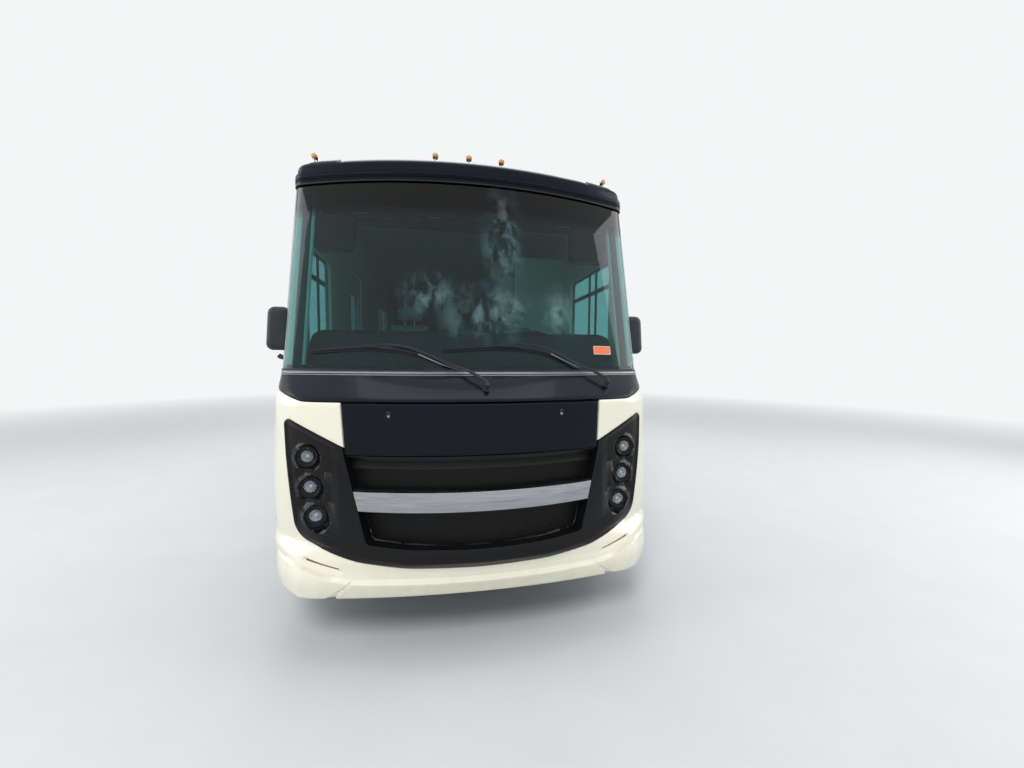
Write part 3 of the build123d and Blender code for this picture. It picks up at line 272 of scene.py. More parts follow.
def roofMembrane():
    # white TPO roof skin: matt, lightly soiled, faint weave
    material, tree, surface = newMaterial("roofMembrane", "#DAD9D3", Roughness=0.75)
    soil = noise(tree, 1.6, 6, 0.62)
    outside = blendColour(tree, ramp(tree, soil, 0.0, 1.0, 0.4, 0.75), "#E2E1DC", "#C5C2B8")
    facing = addNode(tree, "ShaderNodeSeparateXYZ", links={0: addNode(tree, "ShaderNodeNewGeometry").outputs["Normal"]})
    under = addNode(tree, "ShaderNodeMath", {"operation": "LESS_THAN", 1: -0.5}, {0: facing.outputs["Z"]})
    tree.links.new(blendColour(tree, under.outputs[0], outside, "#B9B4A8"), surface.inputs["Base Color"])
    bump(tree, surface, noise(tree, 420, 2), 0.0004, 0.3)
    return material


def chassisPaint():
    # black chassis enamel, road film on it and rust at scraped places
    material, tree, surface = newMaterial("chassisPaint", "#121212", Roughness=0.45)
    film = blendColour(tree, ramp(tree, noise(tree, 5, 6, 0.65), 0.0, 0.8, 0.4, 0.75), "#0F0F10", "#3D372F")
    spots = ramp(tree, noise(tree, 38, 8, 0.7), 0.0, 1.0, 0.68, 0.74)
    tree.links.new(blendColour(tree, spots, film, "#5A3420"), surface.inputs["Base Color"])
    tree.links.new(ramp(tree, spots, 0.42, 0.85), surface.inputs["Roughness"])
    bump(tree, surface, noise(tree, 90, 4), 0.001, 0.3)
    return material


def seatLeather():
    # greige upholstery leather: pebbled grain, creases, its tone darker where the crease pattern dips
    material, tree, surface = newMaterial(
        "seatLeather", "#8C8274", Roughness=0.46, **{"Sheen Weight": 0.15, "Coat Weight": 0.08})
    place = addNode(tree, "ShaderNodeTexCoord").outputs["Object"]
    pebbles = addNode(tree, "ShaderNodeTexVoronoi", {"Scale": 330.0, "feature": "DISTANCE_TO_EDGE"}, {"Vector": place})
    creases = noise(tree, 26, 6, 0.7)
    tree.links.new(blendColour(tree, creases, "#7A7164", "#9C9283"), surface.inputs["Base Color"])
    both = addNode(tree, "ShaderNodeMath", {"operation": "MULTIPLY"}, {0: pebbles.outputs["Distance"], 1: creases})
    bump(tree, surface, both.outputs[0], 0.002, 0.5)
    return material


def plainFinish(name, base, shader, tone, rough, relief):
    # tone: pattern, two colours, range; rough: pattern, two roughnesses, range; relief: pattern, depth, strength
    material, tree, surface = newMaterial(name, base, **shader)
    if tone:
        pattern, first, second, *limits = tone
        factor = patternOf(tree, *pattern)
        factor = ramp(tree, factor, *limits) if limits else factor
        tree.links.new(blendColour(tree, factor, first, second), surface.inputs["Base Color"])
    if rough:
        tree.links.new(ramp(tree, patternOf(tree, *rough[0]), *rough[1:]), surface.inputs["Roughness"])
    if relief:
        bump(tree, surface, patternOf(tree, *relief[0]), *relief[1:])
    return material


# Patterns that steer more than one thing in a finish
swirls = ("noise", 60, 5, 0.7)
coatGrain = ("noise", 500, 3)
drawLines = ("noise", 90, 3, 0.6, (0.06, 1, 8))
barStreaks = ("noise", 26, 5, 0.6, (0.12, 1, 3.5))
plankGrain = ("noise", 14, 6, 0.6, (1, 0.08, 1))
veneerGrain = ("noise", 22, 7, 0.62, (1, 1, 0.1))
brushLines = ("noise", 160, 3, 0.6, (1, 1, 0.05))
prisms = ("weave", 55)
pillows = ("pillows", 90)

plainFinishes = {
    # black acrylic-capped ABS moulding: piano gloss with hairline swirls
    "pianoBlack": (
        "acrylicBlack", "#050608", {"Roughness": 0.07, "Specular IOR Level": 0.25, "IOR": 1.49},
        (swirls, "#040506", "#090A0D"), (swirls, 0.04, 0.13, 0.35, 0.75), (("noise", 120, 2), 0.0003, 0.06)),
    # black powder coat on expanded steel mesh: satin, faintly pebbled
    "powder": (
        "powderCoatBlack", "#0B0C0D", {"Roughness": 0.42, "Specular IOR Level": 0.3},
        (coatGrain, "#060708", "#101214"), None, (coatGrain, 0.0005, 0.3)),
    # decorative chrome on moulded plastic: bright mirror, slight haze where hands wipe it
    "chrome": (
        "chromePlate", "#C6C8CB", {"Roughness": 0.06, "Metallic": 1.0},
        None, (("noise", 24, 5, 0.65), 0.03, 0.14, 0.4, 0.75), None),
    # satin-hazed chrome of the grille bar: darkened to mid grey as a painted reflection of dark ground, streaked along
    # its length
    "barChrome": (
        "barChrome", "#9B9DA1", {"Roughness": 0.16, "Metallic": 1.0},
        (barStreaks, "#7E8186", "#BFC1C4"), (barStreaks, 0.10, 0.24), None),
    # grained black ABS of the mirror shells and trims: leathery texture, dull sheen, sun-faded patches
    "absBlack": (
        "mouldedAbsBlack", "#25282B", {"Roughness": 0.52, "Specular IOR Level": 0.3},
        (("noise", 5, 4), "#26292C", "#33373A"), None, (("cells", 420), 0.0004, 0.12)),
    # extruded EPDM rubber seal: matt black with a dusty bloom
    "rubberSeal": (
        "sealRubber", "#0D0E0F", {"Roughness": 0.6},
        (("noise", 30, 4), "#0A0B0C", "#1B1C1D"), None, (("noise", 300, 2), 0.0004, 0.2)),
    # grey anodised aluminium extrusion: satin with fine draw lines along its length
    "trim": (
        "anodisedTrim", "#8E9092", {"Roughness": 0.34, "Metallic": 0.9},
        (drawLines, "#84878A", "#A4A6A7"), (drawLines, 0.24, 0.46), None),
    # brushed aluminium tube: satin with fine lengthwise lines
    "aluminium": (
        "brushedAluminium", "#B4B6B8", {"Roughness": 0.3, "Metallic": 1.0},
        (brushLines, "#A5A7A9", "#C2C4C6"), (brushLines, 0.2, 0.42), None),
    # amber-brown acrylic side marker, prismed inside
    "amber": (
        "lensAmber", "#8A3F1E", {"Roughness": 0.18, "Coat Weight": 0.6},
        (prisms, "#6E2C14", "#A5552B"), None, (prisms, 0.001, 0.4)),
    # bright amber polycarbonate dome of the clearance lamps, ribbed inside
    "amberDome": (
        "domeAmber", "#E39A35", {"Roughness": 0.1, "Coat Weight": 0.5},
        (("weave", 90), "#D07F22", "#F2B45A"), None, None),
    # red acrylic tail lens with pillow optics
    "red": (
        "lensRed", "#8E0E0C", {"Roughness": 0.14, "Coat Weight": 0.8},
        (pillows, "#A81512", "#5E0706"), None, (pillows, 0.003, 0.6)),
    # printed vinyl sticker, plain orange, sun-bleached in patches
    "sticker": ("stickerOrange", "#F26A2E", {"Roughness": 0.5}, (("noise", 60, 4), "#F0642A", "#F88350"), None, None),
    # rolled acrylic awning cloth: navy, plain weave, faded in patches
    "awningCloth": (
        "awningCloth", "#1C2638", {"Roughness": 0.85, "Sheen Weight": 0.25},
        (("noise", 3, 5), "#182132", "#2C3850"), None, (("weave", 120, 1.0), 0.0005, 0.3)),
    # woven headliner and wall covering: pale warm grey, soft, no gloss
    "lining": (
        "liningFabric", "#B9B3A6", {"Roughness": 0.9, "Sheen Weight": 0.2},
        (("noise", 7, 4), "#AFA99B", "#C3BDB0"), None, (("weave", 140, 2.0), 0.0006, 0.3)),
    # soft grained vinyl over the dashboard: dark slate, leather grain, matt so it doesn't mirror in the glass
    "vinyl": (
        "dashVinyl", "#1B1E21", {"Roughness": 0.62},
        (("noise", 3, 3), "#181B1E", "#25292D"), None, (("edges", 260), 0.0003, 0.1)),
    # glazed dark cherry veneer of the cabinets
    "cherry": (
        "cherryVeneer", "#3E2417", {"Roughness": 0.3, "Coat Weight": 0.4},
        (veneerGrain, "#2C180F", "#5A3523"), None, (veneerGrain, 0.0006, 0.2)),
    # white weathered ABS of the rooftop shrouds
    "shroud": (
        "mouldedShroud", "#D8D7D2", {"Roughness": 0.42},
        (("noise", 4, 5, 0.6), "#DEDDD8", "#C9C6BD"), None, (("noise", 260, 2), 0.0005, 0.2)),
    # sealed plywood deck, brown with long grain
    "board": (
        "floorBoard", "#4A3A2C", {"Roughness": 0.6},
        (plankGrain, "#35291F", "#64503C"), None, (plankGrain, 0.001, 0.3)),
    # rotomoulded grey polyethylene of the bays and wheel housings, stippled and dusty
    "liner": (
        "mouldedLiner", "#2B2C2D", {"Roughness": 0.68},
        (("noise", 6, 6, 0.65), "#242526", "#474540"), None, (("noise", 240, 3), 0.001, 0.4)),
    # raw grey cast iron and aluminium castings: granular, oily stains
    "cast": (
        "castIron", "#55565A", {"Roughness": 0.55, "Metallic": 0.7},
        (("noise", 7, 6, 0.65), "#35363A", "#6B6C70"), None, (("noise", 190, 4), 0.0015, 0.5)),
    # black high-density polyethylene tank, slightly waxy
    "tank": (
        "tankPlastic", "#131415", {"Roughness": 0.5},
        (("noise", 4, 4), "#101112", "#232425"), None, (("noise", 60, 3), 0.002, 0.25)),
    # black tyre rubber: matt, with brown dust in patches
    "tyre": (
        "tyreRubber", "#141414", {"Roughness": 0.72},
        (("noise", 16, 6, 0.65), "#101011", "#2E2B27", 0.0, 1.0, 0.35, 0.8), None,
        (("noise", 350, 3), 0.0006, 0.35)),
    # polished forged aluminium wheel: bright with turned rings and brake dust
    "wheel": (
        "polishedAluminium", "#C9CBCD", {"Roughness": 0.16, "Metallic": 1.0},
        (("noise", 8, 6, 0.65), "#CDCFD1", "#6B665E", 0.0, 0.6, 0.5, 0.8),
        (("noise", 70, 4, 0.6, (8, 0.3, 0.3)), 0.1, 0.32), None),
}

finishes = {
    "ivory": gelcoatIvory(), "night": clearcoatNight(), "windshield": laminatedGlass(), "privacy": privacyGlass(),
    "lens": lensClear(), "membrane": roofMembrane(), "chassis": chassisPaint(), "leather": seatLeather(),
    **{name: plainFinish(*row) for name, row in plainFinishes.items()},
}

# Which carried-over nodes each finish is for
carriedNodes = {
    "ivory": (
        "front_bumper front_mask sidewall_left sidewall_right rear_wall entry_door slideout_room "
        "rear_bumper baggage_door_left_front baggage_door_left_rear baggage_door_right_front "
        "baggage_door_right_rear"),
    "night": "cowl brow awning",
    "pianoBlack": "hood_panel lamp_surround",
    "powder": "grille_mesh radiator",
    "chrome": "grille_bar clearance_lamps",
    "lens": "headlamps",
    "windshield": "windshield",
    "privacy": "side_glass entry_door_glass slideout_glass",
    "membrane": "roof",
    "board": "floor",
    "chassis": "floor_bearers chassis_frame front_axle rear_axle entry_step seat_pedestals",
    "liner": "wheel_housings step_well baggage_bays",
    "cast": "driveline knuckle_left knuckle_right",
    "tank": "fuel_tank",
    "tyre": "tyre_front_left tyre_front_right tyres_rear_left tyres_rear_right",
    "wheel": "rim_front_left rim_front_right rims_rear_left rims_rear_right",
    "vinyl": "dashboard steering_wheel",
    "leather": "seats",
    "cherry": "interior_cabinets",
    "absBlack": "mirrors wipers",
    "amber": "side_markers",
    "shroud": "roof_units",
    "red": "tail_lamps",
    "aluminium": "ladder",
}
nodeFinishes = {name: finish for finish, names in carriedNodes.items() for name in names.split()}
for name, node in cadNodes.items():
    node.data.materials.clear()
    node.data.materials.append(finishes[nodeFinishes.get(name, "liner")])
print("finishes set:", len(finishes))

# Skin of the front: height, set-back of the nose, front radius, corner radius, half width
capRows = [
    (0.354, 0.088, 6.0, 0.45, 1.29), (0.470, 0.038, 3.6, 0.42, 1.29), (0.500, 0.040, 3.2, 0.415, 1.29),
    (0.612, -0.004, 1.9, 0.35, 1.29), (1.150, 0.087, 2.7, 0.38, 1.29), (1.455, 0.136, 2.9, 0.40, 1.29),
    (1.640, 0.412, 3.2, 0.12, 1.29),
]
glassRows = [(1.640, 0.412, 3.2, 0.12, 1.29), (2.990, 0.759, 3.2, 0.12, 1.29)]
browRows = [
    (2.990, 0.745, 3.2, 0.12, 1.29), (3.050, 0.742, 3.2, 0.12, 1.289), (3.110, 0.752, 3.2, 0.13, 1.284),
    (3.140, 0.770, 3.2, 0.14, 1.276), (3.165, 0.818, 3.2, 0.16, 1.262), (3.190, 0.880, 3.2, 0.18, 1.243),
    (3.225, 0.965, 3.2, 0.19, 1.215), (3.262, 1.055, 3.2, 0.19, 1.175),
]


class Skin:
    # a bulging front whose plan at each height is a front arc, two corner arcs and straight sides
    def __init__(self, rows, soften):
        table = np.array(rows, float)
        first, last = table[0] - (table[1] - table[0]), table[-1] + (table[-1] - table[-2])
        self.table = np.vstack([first, table, last])
        self.soften = soften

    def values(self, z):
        heights = self.table[:, 0]
        made = []
        for column in self.table[:, 1:].T:
            spread = [np.interp(z + self.soften * k, heights, column) for k in (-1, -0.5, 0, 0.5, 1)]
            made.append(np.dot([1, 2, 2, 2, 1], spread) / 8)
        return made

    def arcs(self, z):
        setBack, front, corner, half = self.values(z)
        cornerX = half - corner
        centreY = noseY + setBack + front
        drop = np.sqrt((front - corner) ** 2 - cornerX ** 2)
        turn = np.arcsin(cornerX / (front - corner))
        return front, corner, half, cornerX, centreY, drop, turn, front * turn, corner * (math.pi / 2 - turn)

    def plan(self, s, z):
        front, corner, half, cornerX, centreY, drop, turn, frontRun, cornerRun = self.arcs(z)
        run = np.abs(s)
        angle = turn + (run - frontRun) / corner
        onFront, onCorner = run <= frontRun, run <= frontRun + cornerRun
        x = np.where(onFront, front * np.sin(run / front),
                     np.where(onCorner, cornerX + corner * np.sin(angle), half))
        y = np.where(onFront, centreY - front * np.cos(run / front),
                     np.where(onCorner, centreY - drop - corner * np.cos(angle),
                              centreY - drop + run - frontRun - cornerRun))
        return np.stack([x * np.sign(s), y, z], -1)

    def normal(self, s, z):
        small = 0.001
        along = self.plan(s + small, z) - self.plan(s - small, z)
        up = self.plan(s, z + small) - self.plan(s, z - small)
        out = np.cross(along, up)
        return out / np.linalg.norm(out, axis=-1, keepdims=True)

    def point(self, s, z, depth=0.0):
        s, z = np.broadcast_arrays(np.asarray(s, float), np.asarray(z, float))
        return self.plan(s, z) - self.normal(s, z) * np.asarray(depth)[..., None]

    def runAtX(self, x, z):
        # way round the skin from its middle to an X
        front, corner, half, cornerX, _, _, turn, frontRun, _ = self.arcs(z)
        side = np.clip(np.abs(x), 0, half)
        inFront = front * np.arcsin(np.clip(side / front, -1, 1))
        angle = np.arcsin(np.clip((side - cornerX) / corner, -1, 1))
        return np.sign(x) * np.where(inFront <= frontRun, inFront, frontRun + corner * (angle - turn))

    def runAtY(self, y, z):
        # way round the skin from its middle to a Y on the straight side
        *_, centreY, drop, _, frontRun, cornerRun = self.arcs(z)
        return frontRun + cornerRun + y - (centreY - drop)

    def atX(self, x, z, depth=0.0):
        # point at an X and a height
        x, z = np.broadcast_arrays(np.asarray(x, float), np.asarray(z, float))
        return self.point(self.runAtX(x, z), z, depth)


capSkin = Skin(capRows, 0.02)
glassSkin = Skin(glassRows, 0.0)
browSkin = Skin(browRows, 0.012)


def roundedPath(points, closed=True, step=0.02):
    # a polygon of (x, z, corner radius), with its corners rounded and its runs divided
    made = []
    count = len(points)
    for i, (x, z, radius) in enumerate(points):
        here = Vector((x, z))
        before, after = Vector(points[i - 1][:2]), Vector(points[(i + 1) % count][:2])
        if radius <= 0 or (not closed and i in (0, count - 1)):
            made.append(here)
            continue
        toBefore, toAfter = (before - here).normalized(), (after - here).normalized()
        half = toBefore.angle(toAfter) / 2
        reach = min(radius / math.tan(half), (before - here).length * 0.49, (after - here).length * 0.49)
        size = reach * math.tan(half)
        centre = here + (toBefore + toAfter).normalized() * (size / math.sin(half))
        start, end = here + toBefore * reach - centre, here + toAfter * reach - centre
        turns = max(3, math.ceil((math.pi - 2 * half) / 0.2))
        swing = start.angle_signed(end)
        for k in range(turns + 1):
            angle = -swing * k / turns
            made.append(centre + Vector((start.x * math.cos(angle) - start.y * math.sin(angle),
                                         start.x * math.sin(angle) + start.y * math.cos(angle))))
    divided = []
    for i, here in enumerate(made):
        if not closed and i == len(made) - 1:
            divided.append(here)
            break
        after = made[(i + 1) % len(made)]
        parts = max(1, math.ceil((after - here).length / step))
        divided += [here.lerp(after, k / parts) for k in range(parts)]
    return np.array([(p.x, p.y) for p in divided])


def mirroredLoop(half):
    # closes a half outline that starts and ends on the middle line with its mirror image
    other = half[::-1].copy()
    other[:, 0] *= -1
    return np.vstack([half, other[(0 if abs(other[0, 0]) > 1e-6 else 1):(-1 if abs(other[-1, 0]) < 1e-6 else None)]])


def toRuns(skin, loop):
    return np.column_stack([skin.runAtX(loop[:, 0], loop[:, 1]), loop[:, 1]])


def insideLoop(loop, points):
    x, y = points[:, 0], points[:, 1]
    inside = np.zeros(len(points), bool)
    x2, y2 = np.roll(loop[:, 0], -1), np.roll(loop[:, 1], -1)
    for ax, ay, bx, by in zip(loop[:, 0], loop[:, 1], x2, y2):
        if ay != by:
            crosses = (ay > y) != (by > y)
            inside ^= crosses & (x < (bx - ax) * (y - ay) / (by - ay) + ax)
    return inside


def insidePanel(loops, points):
    # inside the first loop and outside the holes after it
    keep = insideLoop(loops[0], points)
    for hole in loops[1:]:
        keep &= ~insideLoop(hole, points)
    return keep


def lineDistance(lines, points):
    nearest = np.full(len(points), 1e9)
    for line in lines:
        for a, b in zip(line[:-1], line[1:]):
            run = b - a
            along = np.clip(((points - a) @ run) / max(run @ run, 1e-12), 0, 1)
            nearest = np.minimum(nearest, np.hypot(*(points - a - along[:, None] * run).T))
    return nearest


def edgeDistance(loops, points):
    return lineDistance([np.vstack([loop, loop[:1]]) for loop in loops], points)


def insetLoop(loop, amount):
    # moves a loop sideways, to its left where amount is positive
    before, after = np.roll(loop, 1, 0), np.roll(loop, -1, 0)
    first, second = loop - before, after - loop
    first /= np.linalg.norm(first, axis=1, keepdims=True)
    second /= np.linalg.norm(second, axis=1, keepdims=True)
    way = np.column_stack([-first[:, 1] - second[:, 1], first[:, 0] + second[:, 0]])
    way /= np.maximum(np.linalg.norm(way, axis=1, keepdims=True), 1e-9)
    spread = np.clip(np.abs((way * np.column_stack([-first[:, 1], first[:, 0]])).sum(1)), 0.5, 1)
    return loop + way * amount / spread[:, None]


def counterClockwise(loop):
    area = (loop[:, 0] * np.roll(loop[:, 1], -1) - np.roll(loop[:, 0], -1) * loop[:, 1]).sum()
    return loop if area > 0 else loop[::-1]


def triangulate(loops, features, grid):
    # fills the first loop, less the holes after it, and keeps each feature line as a crease
    corners = [Vector(p) for line in loops + features for p in line] + [Vector(p) for p in grid]
    edges, start = [], 0
    for index, line in enumerate(loops + features):
        runs = len(line) if index < len(loops) else len(line) - 1
        edges += [(start + i, start + (i + 1) % len(line)) for i in range(runs)]
        start += len(line)
    points, _, faces, *_ = geometry.delaunay_2d_cdt(corners, edges, [], 0, 1e-6)
    points = np.array([(p.x, p.y) for p in points])
    faces = np.array([f for f in faces if len(f) == 3])
    faces = faces[insidePanel(loops, points[faces].mean(1))]
    used = np.unique(faces)
    order = np.zeros(len(points), int)
    order[used] = np.arange(len(used))
    points, faces = points[used], order[faces]
    a, b, c = points[faces[:, 0]], points[faces[:, 1]], points[faces[:, 2]]
    turned = ((b - a)[:, 0] * (c - a)[:, 1] - (b - a)[:, 1] * (c - a)[:, 0]) < 0
    faces[turned] = faces[turned][:, ::-1]
    return points, faces


def rimEdges(faces):
    seen = {}
    for a, b, c in faces.tolist():
        for edge in ((a, b), (b, c), (c, a)):
            seen[edge] = True
    return [edge for edge in seen if (edge[1], edge[0]) not in seen]


def linked(name, data):
    made = bpy.data.objects.new(name, data)
    bpy.context.scene.collection.objects.link(made)
    return made


def settle(made, finish, body, slotted=True):
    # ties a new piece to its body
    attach(made, body)


def meshObject(name, points, faces, finish, body, smooth=True, uv=None, slotted=True):
    mesh = bpy.data.meshes.new(name)
    mesh.from_pydata([tuple(p) for p in points], [], [tuple(int(i) for i in f) for f in faces])
    mesh.validate()
    if uv is not None:
        layer = mesh.uv_layers.new(name="UVMap")
        order = np.zeros(len(mesh.loops), int)
        mesh.loops.foreach_get("vertex_index", order)
        layer.data.foreach_set("uv", np.asarray(uv, np.float32)[order].ravel())
    mesh.materials.append(finishes[finish])
    made = linked(name, mesh)
    if smooth:
        shadeSmooth(mesh)
    if body:
        settle(made, finish, body, slotted)
    return made


def shadeSmooth(mesh):
    mesh.shade_smooth()
    mesh.set_sharp_from_angle(angle=math.radians(32))


def divided(loop, step, closed=True):
    # the same line with no run longer than a step
    made = []
    ends = zip(loop, np.roll(loop, -1, 0)) if closed else zip(loop[:-1], loop[1:])
    for a, b in ends:
        parts = max(1, math.ceil(np.hypot(*(b - a)) / step))
        made += [a + (b - a) * k / parts for k in range(parts)]
    return np.array(made if closed else made + [loop[-1]])


def skinPanel(name, skin, loops, finish, body, spacing=0.02, thickness=0.008, lift=0.0, edge=0.004,
              carve=None, features=()):
    # a moulded sheet on the skin: loops are its outline and holes, in runs and heights
    loops = [counterClockwise(divided(np.asarray(loop), spacing)) for loop in loops]
    inner = []
    for index, loop in enumerate(loops):
        way = 1 if index == 0 else -1
        inner += [insetLoop(loop, way * edge * k) for k in (0.3, 1.0)] if edge else []
    creases = []
    for line in features:
        line = divided(np.asarray(line), spacing * 0.7, closed=False)
        keep = insidePanel(loops, line) & (edgeDistance(loops, line) > edge * 1.3 + 0.0005)
        for run in np.split(np.arange(len(line)), np.where(np.diff(keep.astype(int)) != 0)[0] + 1):
            if keep[run[0]] and len(run) > 1:
                creases.append(line[run])
    low, high = loops[0].min(0), loops[0].max(0)
    columns, rows = max(2, int((high[0] - low[0]) / spacing)), max(2, int((high[1] - low[1]) / spacing))
    grid = np.stack(np.meshgrid(np.linspace(low[0], high[0], columns + 1), np.linspace(low[1], high[1], rows + 1)),
                    -1).reshape(-1, 2)
    grid = grid[insidePanel(loops, grid)]
    grid = grid[edgeDistance(loops, grid) > max(edge * 1.4, spacing * 0.45)]
    if creases:
        grid = grid[lineDistance(creases, grid) > spacing * 0.3]
    points, faces = triangulate(loops, creases, np.vstack([grid] + inner))
    distance = edgeDistance(loops, points)
    depth = np.full(len(points), -float(lift))
    if edge:
        fall = np.clip(edge - distance, 0, edge)
        depth += edge - np.sqrt(np.maximum(edge ** 2 - fall ** 2, 0))
    placed = skin.point(points[:, 0], points[:, 1], depth)
    if carve:
        placed = carve(points, placed, distance)
    behind = placed - skin.normal(points[:, 0], points[:, 1]) * thickness
    rim = rimEdges(faces)
    count = len(points)
    allFaces = faces.tolist() + (faces[:, ::-1] + count).tolist()
    allFaces += [(a, a + count, b + count, b) for a, b in rim]
    return meshObject(name, np.vstack([placed, behind]), allFaces, finish, body, uv=np.vstack([points, points]))


def latheMesh(profile, centre, facing, turns=48, squash=1.0):
    # points and faces of a profile of (radius, reach) turned about a line through the centre
    facing = Vector(facing).normalized()
    across = facing.cross(Vector((0, 0, 1))).normalized()
    upward = across.cross(facing)
    points, faces = [], []
    for radius, reach in profile:
        for k in range(turns):
            angle = 2 * math.pi * k / turns
            points.append(Vector(centre) + facing * reach
                          + (across * math.cos(angle) + upward * math.sin(angle) * squash) * radius)
    for row in range(len(profile) - 1):
        for k in range(turns):
            nextK = (k + 1) % turns
            faces.append((row * turns + k, row * turns + nextK, (row + 1) * turns + nextK, (row + 1) * turns + k))
    return points, faces


def joinedObject(name, parts, finish, body, smooth=True, slotted=True):
    # one object from several (points, faces) parts, with outward normals
    points, faces = [], []
    for partPoints, partFaces in parts:
        start = len(points)
        points += [tuple(p) for p in partPoints]
        faces += [tuple(start + i for i in face) for face in partFaces]
    made = meshObject(name, points, faces, finish, body, smooth=False, slotted=slotted)
    cleanUp(made, smooth)
    return made


def vertexValues(mesh, title="co"):
    values = np.zeros(len(mesh.vertices) * 3)
    mesh.vertices.foreach_get(title, values)
    return values.reshape(-1, 3)


def cleanUp(made, smooth=True):
    work = bmesh.new()
    work.from_mesh(made.data)
    bmesh.ops.remove_doubles(work, verts=work.verts, dist=0.00001)
    bmesh.ops.recalc_face_normals(work, faces=work.faces)
    work.to_mesh(made.data)
    work.free()
    if smooth:
        shadeSmooth(made.data)


def sheetMesh(rows, closed=False):
    # points and faces of a grid of rows of points
    rows = [list(row) for row in rows]
    width = len(rows[0])
    points = [p for row in rows for p in row]
    faces = []
    for r in range(len(rows) - 1):
        for c in range(width if closed else width - 1):
            d = (c + 1) % width
            faces.append((r * width + c, r * width + d, (r + 1) * width + d, (r + 1) * width + c))
    return points, faces


def tubeMesh(rows):
    # closed solid: each row of points runs round it, with a face over either end
    points, faces = sheetMesh(rows, closed=True)
    count = len(rows[0])
    return points, faces + [tuple(range(count)), tuple((len(rows) - 1) * count + k for k in range(count))]


def stripMesh(rows):
    # closed strip: each row of points runs along it, one for every corner of its section
    points, faces = sheetMesh(rows + [rows[0]])
    count, corners = len(rows[0]), range(len(rows))
    return points, faces + [tuple(r * count for r in corners), tuple(r * count + count - 1 for r in corners[::-1])]


def smoothLine(points, count):
    # an even curve through the points
    points = np.array(points, float)
    ends = np.vstack([2 * points[0] - points[1], points, 2 * points[-1] - points[-2]])
    made = []
    for t in np.linspace(0, len(points) - 1, count):
        i = min(int(t), len(points) - 2)
        f = t - i
        a, b, c, d = ends[i:i + 4]
        square, cube = 2 * a - 5 * b + 4 * c - d, 3 * b - a - 3 * c + d
        made.append(0.5 * (2 * b + (c - a) * f + square * f * f + cube * f ** 3))
    return np.array(made)


def sweptRod(path, sizes, upward=(0, 0, 1), sides=12, square=1.0):
    # closed rod along a path: half width across and half height upwards at each point
    path = np.array([tuple(p) for p in path], float)
    sizes = np.broadcast_to(np.asarray(sizes, float), (len(path), 2))
    along = np.gradient(path, axis=0)
    along /= np.linalg.norm(along, axis=1, keepdims=True)
    across = np.cross(along, np.asarray(upward, float))
    across /= np.linalg.norm(across, axis=1, keepdims=True)
    up = np.cross(across, along)
    turn = np.linspace(0, 2 * math.pi, sides, endpoint=False)
    c, s = np.cos(turn), np.sin(turn)
    c, s = np.sign(c) * np.abs(c) ** square, np.sign(s) * np.abs(s) ** square
    return tubeMesh([path[i] + across[i] * c[:, None] * sizes[i, 0] + up[i] * s[:, None] * sizes[i, 1]
                     for i in range(len(path))])


def shrunkLoop(outline, amount):
    # the same outline, nearer its middle by an amount at each side
    low, high = outline.min(0), outline.max(0)
    middle, half = (low + high) / 2, (high - low) / 2
    return middle + (outline - middle) * (half - amount) / half


def shrunkRows(outline, place, levels):
    outline = counterClockwise(np.asarray(outline, float))
    return [[place(u, v, depth) for u, v in shrunkLoop(outline, inset)] for inset, depth in levels]


def plate(outline, place, levels):
    # closed solid of an outline: at each level it is inset by an amount and stands at a depth
    return tubeMesh(shrunkRows(outline, place, levels))


def ringFrame(outline, place, section):
    # closed ring of an outline, from a section of (inset, depth) pairs
    rows = shrunkRows(outline, place, section)
    return sheetMesh(rows + [rows[0]], closed=True)


def roundedBlock(low, high, radius, segments=3):
    # block with rolled edges
    work = bmesh.new()
    bmesh.ops.create_cube(work, size=1.0)
    middle, size = (Vector(low) + Vector(high)) / 2, Vector(high) - Vector(low)
    for corner in work.verts:
        corner.co = Vector([middle[i] + corner.co[i] * size[i] for i in range(3)])
    bmesh.ops.bevel(work, geom=work.edges[:], offset=min(radius, min(size) * 0.49), segments=segments, profile=0.5,
                    affect="EDGES")
    work.verts.index_update()
    points = [corner.co.copy() for corner in work.verts]
    faces = [tuple(corner.index for corner in face.verts) for face in work.faces]
    work.free()
    return points, faces


def rectangle(left, low, right, high, radius, step=0.05):
    return roundedPath([(left, low, radius), (right, low, radius), (right, high, radius), (left, high, radius)],
                       step=step)


def geometryTree(name, inputs):
    # an empty Geometry Nodes group with a shape in and out, and further inputs (title: kind)
    tree = bpy.data.node_groups.new(name, "GeometryNodeTree")
    face = tree.interface
    face.new_socket("Geometry", in_out="INPUT", socket_type="NodeSocketGeometry")
    sockets = {title: face.new_socket(title, in_out="INPUT", socket_type="NodeSocket" + kind).identifier
               for title, kind in inputs.items()}
    face.new_socket("Geometry", in_out="OUTPUT", socket_type="NodeSocketGeometry")
    return tree, sockets, addNode(tree, "NodeGroupInput"), addNode(tree, "NodeGroupOutput")


